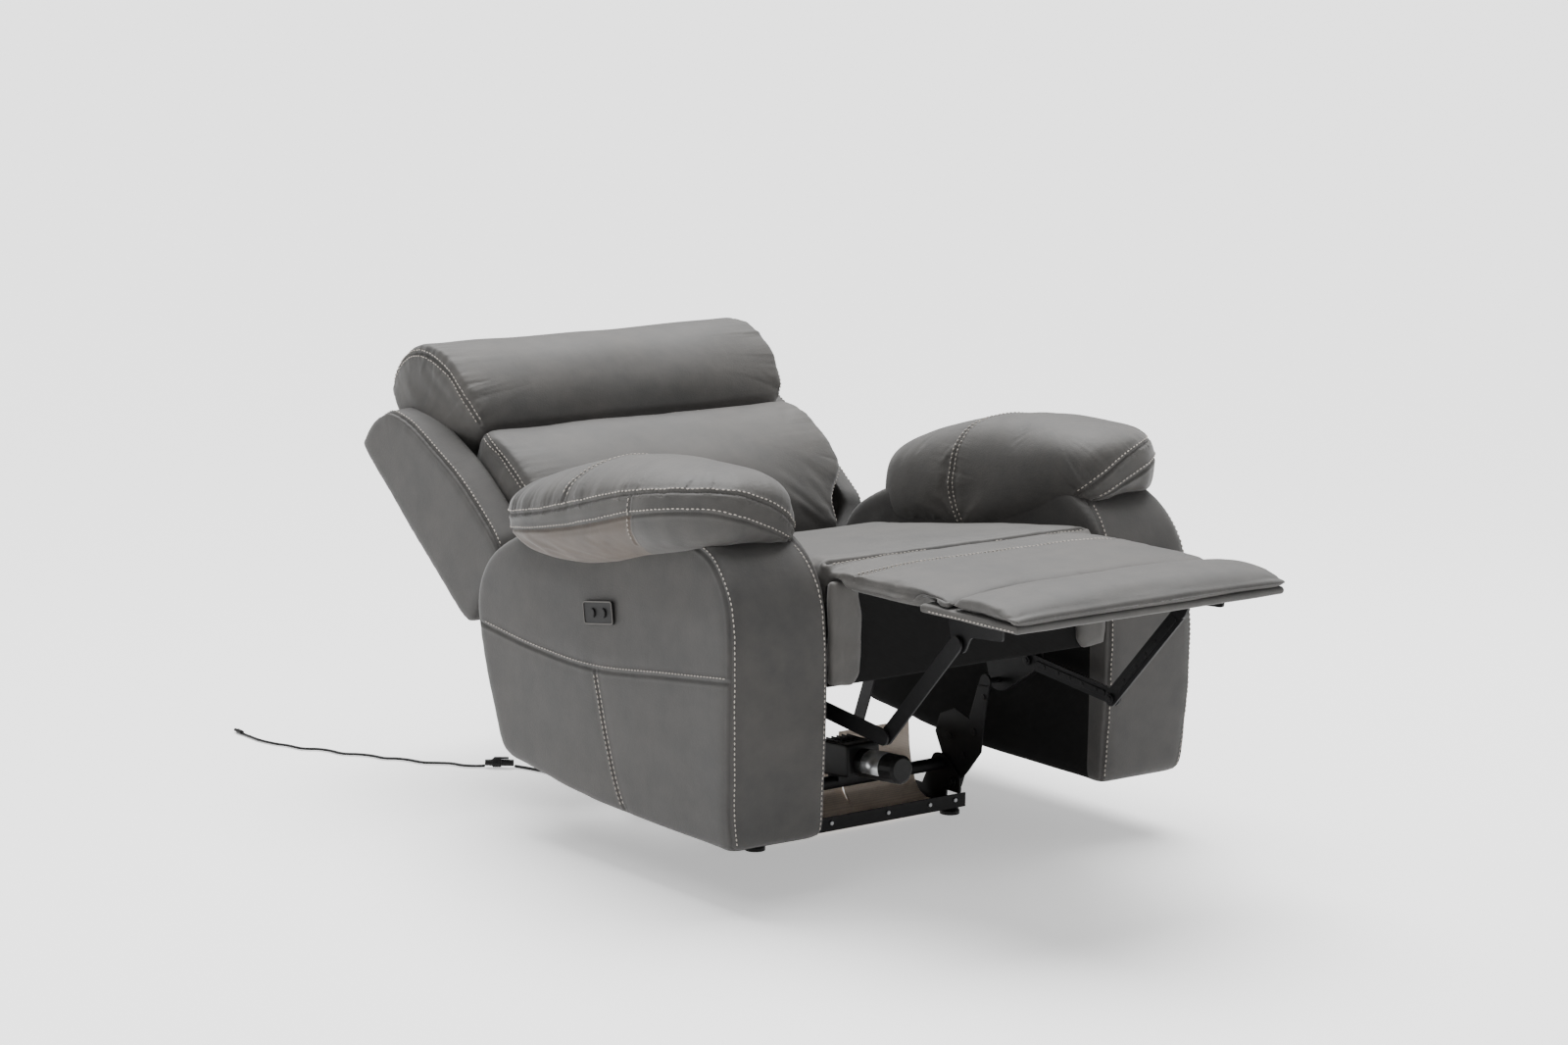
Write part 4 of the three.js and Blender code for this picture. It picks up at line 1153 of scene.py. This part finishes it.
class RECLINER_OT_steelwork(bpy.types.Operator):
    """Rivets, screws, ribs and brackets on the linkage and floor frame"""

    bl_idname = "recliner.steelwork"
    bl_label = "Steelwork"

    def execute(self, context):
        colours = context.scene.recliner_colours
        black = black_steel("powder_coat", colours.steel)
        zinc = bare_steel("zinc_plate", colours.zinc, 0.38)
        self.finish_nodes(colours, black, zinc)
        self.rivets(black)
        self.short_links(black)
        self.foot_brackets(black)
        self.frame_screws(zinc)
        self.notched_plates(black)
        return {"FINISHED"}

    def finish_nodes(self, colours, black, zinc):
        plastic = moulded("black_moulding", colours.plastic)
        ply = plywood("bare_plywood", colours.ply)
        by_slot = {
            "black_steel": black,
            "zinc_steel": zinc,
            "black_plastic": plastic,
            "plywood": ply,
            "beige_cloth": woven("beige_lining", colours.lining, 700.0),
        }
        slots = {s["node"]: s["material_slot"] for s in frame["record"]["subparts"]}
        for node, piece in frame["nodes"].items():
            if slots[node] in by_slot:
                paint(piece, by_slot[slots[node]])

    def rivets(self, black):
        """Domed heads over the pivots, one piece for each body."""
        knee = Vector(JOINTS["knee_pivot"]["pos_m"])
        root = Vector(JOINTS["rear_link_pivot"]["pos_m"])
        for body, place, layer in (
            ("rear_links", root, 236.6),
            ("front_links", knee, 229.2),
        ):
            bm = bmesh.new()
            for side in (-1, 1):
                at = Vector((side * layer / 1000, place.y, place.z))
                disc(bm, 0.0085, 0.0028, at, Vector((-side, 0, 0)), 18, 0.0009)
                disc(bm, 0.0045, 0.0045, at, Vector((-side, 0, 0)), 14, 0.0009)
            made = keep(f"pivot_heads_{body}", bm, black, False)
            dress(made, body)
        swing = Vector(JOINTS["front_swing_pivot"]["pos_m"])
        rear = Vector(JOINTS["rear_swing_pivot"]["pos_m"])
        bm = bmesh.new()
        for side in (-1, 1):
            for place in (swing, rear):
                at = Vector((side * 0.210, place.y, place.z))
                disc(bm, 0.0095, 0.003, at, Vector((-side, 0, 0)), 18, 0.001)
                disc(bm, 0.0055, 0.006, at, Vector((-side, 0, 0)), 6, 0.0005)
        made = keep("frame_pivot_heads", bm, black, False)
        dress(made, "base")

    def short_links(self, black):
        """Pressed ribs and eyelets along the footrest links."""
        runs = (
            ("front_links", "front_link", (-84, 267), (-245, 441)),
            ("rear_links", "rear_link", (130, 290), (-84, 267)),
        )
        for body, node, start, end in runs:
            bm = bmesh.new()
            length = math.dist(start, end)
            dy, dz = (end[0] - start[0]) / length, (end[1] - start[1]) / length
            for name, side in SIDES:
                low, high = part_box(f"{node}_{name}")
                x = (high.x if side < 0 else low.x) * 1000
                ring = []
                for t, turn in ((length - 26, 0), (26, 180)):
                    for step in range(7):
                        angle = math.radians(turn - 90 + 30 * step)
                        along, across = t + 5.5 * math.cos(angle), 5.5 * math.sin(angle)
                        y = start[0] + dy * along - dz * across
                        z = start[1] + dz * along + dy * across
                        ring.append(mm(x, y, z))
                rib = slab_mesh(ring, Vector((-side * 0.0014, 0, 0)), 0.0005, 2)
                gather_in(bm, rib)
                for share in (0.2, 0.36, 0.5, 0.64, 0.8):
                    at = mm(x, start[0] + dy * length * share, start[1] + dz * length * share)
                    disc(bm, 0.0036, 0.0021, at, Vector((-side, 0, 0)), 14, 0.0005)
            made = keep(f"{body}_ribs", bm, black, False)
            dress(made, body)

    def foot_brackets(self, black):
        """Perforated angle under the footboard on each side."""
        bm = bmesh.new()
        for side in (-1, 1):
            for k in range(7):
                y = -240 - 15 * k
                disc(bm, 0.0042, 0.0012, mm(side * 221.9, y, 478), Vector((-side, 0, 0)), 14)
                disc(bm, 0.0026, 0.0016, mm(side * 221.9, y, 478), Vector((-side, 0, 0)), 12)
        made = keep("foot_bracket_eyelets", bm, black, False)
        dress(made, "footrest")

    def notched_plates(self, black):
        """Stamped plates that stiffen the front swing links."""
        outline = (
            (199, 235), (212, 160), (216, 118), (250, 78), (283, 45), (317, 56), (319, 97),
            (338, 132), (325, 165), (287, 181), (248, 170), (228, 232),
        )
        bm = bmesh.new()
        for side in (-1, 1):
            low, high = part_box(f"swing_link_front_{'right' if side < 0 else 'left'}")
            x = (high.x if side < 0 else low.x) * 1000
            ring = [mm(x - side * 0.4, y, z) for y, z in outline]
            plate = slab_mesh(ring, Vector((-side * 0.0022, 0, 0)), 0.0007, 2)
            gather_in(bm, plate)
            for y, z, radius in (
                (236, 150, 6), (262, 104, 5), (300, 130, 8), (300, 92, 4), (213, 214, 5),
            ):
                at = mm(x - side * 2.6, y, z)
                disc(bm, radius / 1000, 0.0018, at, Vector((-side, 0, 0)), 16, 0.0006)
        made = keep("swing_plates", bm, black, False)
        dress(made, "front_swing")

    def frame_screws(self, zinc):
        bm = bmesh.new()
        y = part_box("base_front_rail")[0].y
        for x in (-205, -150, -60, 60, 150, 205):
            disc(bm, 0.0038, 0.0025, Vector((x / 1000, y, 0.026)), Vector((0, -1, 0)), 6, 0.0006)
        made = keep("frame_screws", bm, zinc, False)
        dress(made, "base")


class RECLINER_OT_drive(bpy.types.Operator):
    """Blank motor label and gearbox ribs"""

    bl_idname = "recliner.drive"
    bl_label = "Motor and gearbox"

    def execute(self, context):
        plastic = bpy.data.materials["black_moulding"]
        foil = bare_steel("label_foil", (0.62, 0.63, 0.64), 0.3)
        low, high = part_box("motor")
        middle = (low + high) / 2
        radius = (high.x - low.x) / 2
        bm = bmesh.new()
        tilt = Matrix.Rotation(math.radians(-4.9), 4, "X")
        along = tilt @ Vector((0, 1, 0))
        turn = Vector((0, 0, 1)).rotation_difference(along).to_matrix().to_4x4()
        bmesh.ops.create_cone(
            bm,
            cap_ends=False,
            segments=40,
            radius1=radius + 0.0005,
            radius2=radius + 0.0005,
            depth=0.046,
            matrix=Matrix.Translation(middle + along * 0.008) @ turn,
        )
        keep_side = [v for v in bm.verts if v.co.z < middle.z - 0.016 or v.co.x > 0.012]
        bmesh.ops.delete(bm, geom=keep_side, context="VERTS")
        label = keep("motor_label", bm, foil)
        add(label, "SOLIDIFY", thickness=0.0003, offset=1.0)
        dress(label, "base")

        bm = bmesh.new()
        glow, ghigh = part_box("gearbox")
        for k in range(5):
            x = glow.x + (ghigh.x - glow.x) * (0.18 + 0.16 * k)
            made = bmesh.ops.create_cube(
                bm,
                size=1.0,
                matrix=Matrix.Translation(Vector((x, (glow.y + ghigh.y) / 2, ghigh.z - 0.0035)))
                @ Matrix.Diagonal((0.0026, 0.062, 0.006, 1)),
            )
            rims = list({e for v in made["verts"] for e in v.link_edges})
            bmesh.ops.bevel(
                bm, geom=rims, offset=0.0008, segments=2, affect="EDGES", profile=0.5, material=-1
            )
        ribs = keep("gearbox_ribs", bm, plastic, False)
        dress(ribs, "base")
        return {"FINISHED"}


class RECLINER_OT_controls(bpy.types.Operator):
    """Rim of the control panel and the caps of its buttons"""

    bl_idname = "recliner.controls"
    bl_label = "Control panel"

    def execute(self, context):
        colours = context.scene.recliner_colours
        gloss = moulded("panel_gloss", colours.plastic, 0.5)
        rim_steel = bare_steel("panel_rim", (0.09, 0.085, 0.08), 0.4)
        low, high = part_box("control_panel")
        middle = (low + high) / 2
        tilt = Matrix.Rotation(math.radians(-9), 4, "X")
        bm = bmesh.new()
        loops = []
        for inset in (0.0, 0.0018):
            half_y, half_z, round_off = 0.0405 - inset, 0.0185 - inset, 0.006 - inset
            ring = []
            for (sy, sz), start in zip(((1, 1), (-1, 1), (-1, -1), (1, -1)), (0, 90, 180, 270)):
                for step in range(6):
                    angle = math.radians(start + 18 * step)
                    y = sy * (half_y - round_off) + round_off * math.cos(angle)
                    z = sz * (half_z - round_off) + round_off * math.sin(angle)
                    ring.append(bm.verts.new(Vector((0, y, z))))
            loops += [bm.edges.new(pair) for pair in zip(ring, ring[1:] + ring[:1])]
        bmesh.ops.bridge_loops(bm, edges=loops)
        move = Matrix.Translation((low.x - 0.0004, middle.y, middle.z)) @ tilt
        bmesh.ops.transform(bm, matrix=move, verts=bm.verts)
        rim = keep("panel_rim", bm, rim_steel, False)
        add(rim, "SOLIDIFY", thickness=0.0012, offset=0.0)
        dress(rim, "carriage")
        for node in ("control_panel", "recline_button", "upright_button"):
            piece = frame["nodes"][node]
            paint(piece, gloss)
        for node in ("recline_button", "upright_button"):
            blow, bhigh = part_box(node)
            at = Vector((blow.x, (blow.y + bhigh.y) / 2, (blow.z + bhigh.z) / 2))
            bm = bmesh.new()
            for radius, depth in ((0.0068, 0.0006), (0.0050, 0.0004)):
                disc(bm, radius, depth, at + Vector((0.0002, 0, 0)), Vector((-1, 0, 0)), 28, 0.0002)
            cap = keep(f"{node}_cap", bm, gloss, False)
            dress(cap, node)
        return {"FINISHED"}


# ---- Leads ----
LEAD_LIE = 3
MOTOR_LEAD = (
    (-22, 349, 114.5), (-23, 372, 112), (-26, 398, 104), (-31, 421, 88), (-37, 440, 65),
    (-44, 457, 40), (-52, 476, 18), (-62, 500, 6),
    (-76, 532, LEAD_LIE),
    (-100, 590, LEAD_LIE),
    (-128, 660, LEAD_LIE),
    (-154, 735, LEAD_LIE),
    (-178, 815, LEAD_LIE),
    (-200, 890, LEAD_LIE),
    (-217, 942, LEAD_LIE),
    (-226, 964, LEAD_LIE),
)
SUPPLY_LEAD = (
    (-268.5, 996.5, LEAD_LIE),
    (-281, 1003, LEAD_LIE),
    (-298, 1019, LEAD_LIE),
    (-308, 1043, LEAD_LIE),
    (-325, 1060, LEAD_LIE),
    (-345, 1078, LEAD_LIE),
    (-356, 1108, LEAD_LIE),
    (-368, 1128, LEAD_LIE),
    (-385, 1144, LEAD_LIE),
    (-394, 1172, LEAD_LIE),
    (-408, 1194, LEAD_LIE),
    (-428, 1214, LEAD_LIE),
    (-436, 1246, LEAD_LIE),
    (-447, 1268, LEAD_LIE),
    (-468, 1288, LEAD_LIE),
    (-478, 1322, LEAD_LIE),
    (-490, 1348, LEAD_LIE),
    (-499, 1384, LEAD_LIE),
    (-500, 1420, LEAD_LIE),
    (-500, 1448, LEAD_LIE),
)


def run_length(run):
    return sum((b - a).length for a, b in zip(run, run[1:]))


class RECLINER_OT_leads(bpy.types.Operator):
    """The motor's lead, the inline connector and the supply lead"""

    bl_idname = "recliner.leads"
    bl_label = "Leads"

    def execute(self, context):
        sizes, colours = context.scene.recliner_sizes, context.scene.recliner_colours
        jacket = moulded("lead_jacket", colours.plastic, 0.38)
        plastic = moulded("connector_moulding", colours.plastic, 0.34)
        nodes = frame["nodes"]
        for node in ("lead_socket", "lead_plug", "supply_plug"):
            paint(nodes[node], plastic)
        latch = self.latch(plastic)
        motor = self.tube("motor_lead_cable", MOTOR_LEAD, sizes.lead_radius * 1.1, jacket)
        supply = self.tube("supply_lead_cable", SUPPLY_LEAD, sizes.lead_radius, jacket)
        for cable, node in ((motor, "motor_lead"), (supply, "supply_lead")):
            dress(cable, "base")
            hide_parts(node)
        first = flowing([mm(*p) for p in MOTOR_LEAD], 8)
        second = flowing([mm(*p) for p in SUPPLY_LEAD], 8)
        run_length(first)
        run_length(second)
        return {"FINISHED"}

    def tube(self, name, route, radius, material):
        curve = bpy.data.curves.new(name, "CURVE")
        curve.dimensions = "3D"
        curve.bevel_depth = radius
        curve.bevel_resolution = 4
        curve.use_fill_caps = True
        places = flowing([mm(*p) for p in route], 4)
        spline = curve.splines.new("POLY")
        spline.points.add(len(places) - 1)
        for point, place in zip(spline.points, places):
            point.co = (*place, 1.0)
        spline.use_smooth = True
        curve.materials.append(material)
        piece = bpy.data.objects.new(name, curve)
        bpy.context.scene.collection.objects.link(piece)
        return piece

    def latch(self, material):
        """Locking tongue and grip rings over the inline connector."""
        bm = bmesh.new()
        start, end = mm(-245.3, 979, 9), mm(-268.2, 996.2, 9)
        way = (end - start).normalized()
        for k in range(4):
            disc(bm, 0.0086, 0.0016, start + way * (0.003 + 0.0034 * k), way, 20, 0.0005)
        box = bmesh.ops.create_cube(
            bm,
            size=1.0,
            matrix=Matrix.Translation(start + Vector((0, 0, 0.0085)))
            @ Vector((0, 1, 0)).rotation_difference(way).to_matrix().to_4x4()
            @ Matrix.Diagonal((0.006, 0.026, 0.0035, 1)),
        )
        rims = list({e for v in box["verts"] for e in v.link_edges})
        bmesh.ops.bevel(
            bm, geom=rims, offset=0.0008, segments=2, affect="EDGES", profile=0.5, material=-1
        )
        piece = keep("connector_latch", bm, material, False)
        dress(piece, "base")
        return piece


# ---- Stage ----
CAMERA_PLACE = (-3929.2, -4655.7, 1688.8)
CAMERA_TURN = (-37.38, 10.49, 0.69)  # azimuth, elevation and roll in degrees
CAMERA_LENS = 89.9


class RECLINER_OT_stage(bpy.types.Operator):
    """Camera, floor and soft studio light"""

    bl_idname = "recliner.stage"
    bl_label = "Stage"

    def execute(self, context):
        self.camera(context)
        colours = context.scene.recliner_colours
        bm = bmesh.new()
        bmesh.ops.create_grid(bm, x_segments=2, y_segments=2, size=70.0)
        bmesh.ops.translate(bm, verts=bm.verts, vec=(0, 0, -0.0004))
        floor = keep("studio_floor", bm, studio_floor("floor_paint", colours.floor), False)
        world = bpy.data.worlds.new("studio_air")
        world.use_nodes = True
        background = world.node_tree.nodes["Background"]
        background.inputs["Color"].default_value = (1.0, 1.0, 1.0, 1.0)
        background.inputs["Strength"].default_value = 0.28
        context.scene.world = world
        self.sun((0.22, 0.42, 1.0), 7.0, 52)
        self.light("overhead", (0.3, 0.5, 2.6), (0.0, 0.1, 0.3), 2.6, 2.2, 30)
        self.light("left_high", (-2.2, -0.9, 3.0), (0.2, 0.1, 0.5), 2.0, 1.6, 34)
        self.light("far_side", (3.0, -0.6, 1.6), (0.0, 0.0, 0.4), 1.6, 1.2, 16)
        return {"FINISHED"}

    def camera(self, context):
        az, el, roll = (math.radians(a) for a in CAMERA_TURN)
        back = Vector((math.sin(az) * math.cos(el), -math.cos(az) * math.cos(el), math.sin(el)))
        right = Vector((math.cos(az), math.sin(az), 0))
        up = back.cross(right)
        right, up = (
            right * math.cos(roll) + up * math.sin(roll),
            up * math.cos(roll) - right * math.sin(roll),
        )
        data = bpy.data.cameras.new("view")
        data.lens = CAMERA_LENS
        data.sensor_width = 36.0
        data.clip_end = 60.0
        camera = bpy.data.objects.new("view", data)
        turn = Matrix((right, up, back)).transposed().to_4x4()
        camera.matrix_world = Matrix.Translation(mm(*CAMERA_PLACE)) @ turn
        context.scene.collection.objects.link(camera)
        context.scene.camera = camera

    def sun(self, towards, strength, angle):
        """Even, very soft light from overhead that reaches the whole floor."""
        data = bpy.data.lights.new("softbox_ceiling", "SUN")
        data.energy = strength
        data.angle = math.radians(angle)
        lamp = bpy.data.objects.new("softbox_ceiling", data)
        lamp.matrix_world = Vector(towards).to_track_quat("Z", "Y").to_matrix().to_4x4()
        bpy.context.scene.collection.objects.link(lamp)

    def light(self, name, place, aim, width, height, power):
        data = bpy.data.lights.new(name, "AREA")
        data.shape = "RECTANGLE"
        data.size, data.size_y = width, height
        data.energy = power
        lamp = bpy.data.objects.new(name, data)
        away = Vector(place) - Vector(aim)
        turn = away.to_track_quat("Z", "Y").to_matrix().to_4x4()
        lamp.matrix_world = Matrix.Translation(place) @ turn
        bpy.context.scene.collection.objects.link(lamp)


# ---- Settings and panel ----
class ReclinerSizes(bpy.types.PropertyGroup):
    voxel: FloatProperty(
        name="Cover mesh", description="Mesh size of the covers", default=0.0074, unit="LENGTH"
    )
    stitch_pitch: FloatProperty(
        name="Stitch pitch", description="From stitch to stitch", default=0.0082, unit="LENGTH"
    )
    thread_radius: FloatProperty(
        name="Thread radius", description="Half the thread's width", default=0.0011, unit="LENGTH"
    )
    lead_radius: FloatProperty(
        name="Lead radius",
        description="Half the supply lead's width",
        default=0.0025,
        unit="LENGTH",
    )


def colour_property(name, description, default):
    return FloatVectorProperty(
        name=name, description=description, default=default, subtype="COLOR", min=0.0, max=1.0
    )


class ReclinerColours(bpy.types.PropertyGroup):
    # The side cover is the pad microfibre darkened as painted shade for the less lit arm and wing sides.
    side: colour_property("Side cover", "Microfibre of the arms and wings", (0.040, 0.0392, 0.038))
    pad: colour_property("Pad cover", "Microfibre of the cushions", (0.056, 0.055, 0.053))
    taupe: colour_property(
        "Taupe cover", "Lower rear panels of the arm pads", (0.085, 0.072, 0.062)
    )
    thread: colour_property("Thread", "Contrast stitching", (0.42, 0.385, 0.345))
    steel: colour_property("Steel", "Powder coat", (0.004, 0.004, 0.0045))
    zinc: colour_property("Zinc", "Plated screws and wire", (0.45, 0.46, 0.47))
    plastic: colour_property("Plastic", "Black mouldings", (0.006, 0.006, 0.006))
    cambric: colour_property("Cambric", "Black dust cloth", (0.0035, 0.0034, 0.0034))
    lining: colour_property("Lining", "Beige lining cloth", (0.74, 0.64, 0.55))
    ply: colour_property("Plywood", "Bare frame timber", (0.42, 0.29, 0.15))
    floor: colour_property("Floor", "Studio floor", (0.86, 0.86, 0.86))


class RECLINER_OT_thread(bpy.types.Operator):
    """The sewing thread and the black lining that several pieces share; on the arms' inner faces and bottoms it is
    partly painted shade.
    """

    bl_idname = "recliner.thread"
    bl_label = "Thread"

    def execute(self, context):
        colours = context.scene.recliner_colours
        thread("seam_thread", colours.thread)
        woven("black_cambric", colours.cambric, sheen=0.0)
        return {"FINISHED"}


PIECES = (
    RECLINER_OT_stage,
    RECLINER_OT_leads,
    RECLINER_OT_thread,
    RECLINER_OT_steelwork,
    RECLINER_OT_drive,
    RECLINER_OT_controls,
    RECLINER_OT_arms,
    RECLINER_OT_arm_pads,
    RECLINER_OT_back_cushions,
    RECLINER_OT_back_shell,
    RECLINER_OT_seat,
    RECLINER_OT_seat_front,
)


class RECLINER_PT_panel(bpy.types.Panel):
    """Lists the pieces of the recliner"""

    bl_label = "Recliner"
    bl_idname = "RECLINER_PT_panel"
    bl_space_type = "VIEW_3D"
    bl_region_type = "UI"
    bl_category = "Recliner"

    def draw(self, context):
        for group in (context.scene.recliner_sizes, context.scene.recliner_colours):
            for key in group.__annotations__:
                self.layout.prop(group, key)
        for piece in PIECES:
            self.layout.operator(piece.bl_idname)


CLASSES = (ReclinerSizes, ReclinerColours, *PIECES, RECLINER_PT_panel)


def register():
    for cls in CLASSES:
        bpy.utils.register_class(cls)
    bpy.types.Scene.recliner_sizes = PointerProperty(type=ReclinerSizes)
    bpy.types.Scene.recliner_colours = PointerProperty(type=ReclinerColours)


def unregister():
    del bpy.types.Scene.recliner_sizes
    del bpy.types.Scene.recliner_colours
    for cls in reversed(CLASSES):
        bpy.utils.unregister_class(cls)


def main():
    register()
    for piece in PIECES:
        name = piece.bl_idname.split(".")[1]
        getattr(bpy.ops.recliner, name)()


if __name__ == "__main__":
    main()
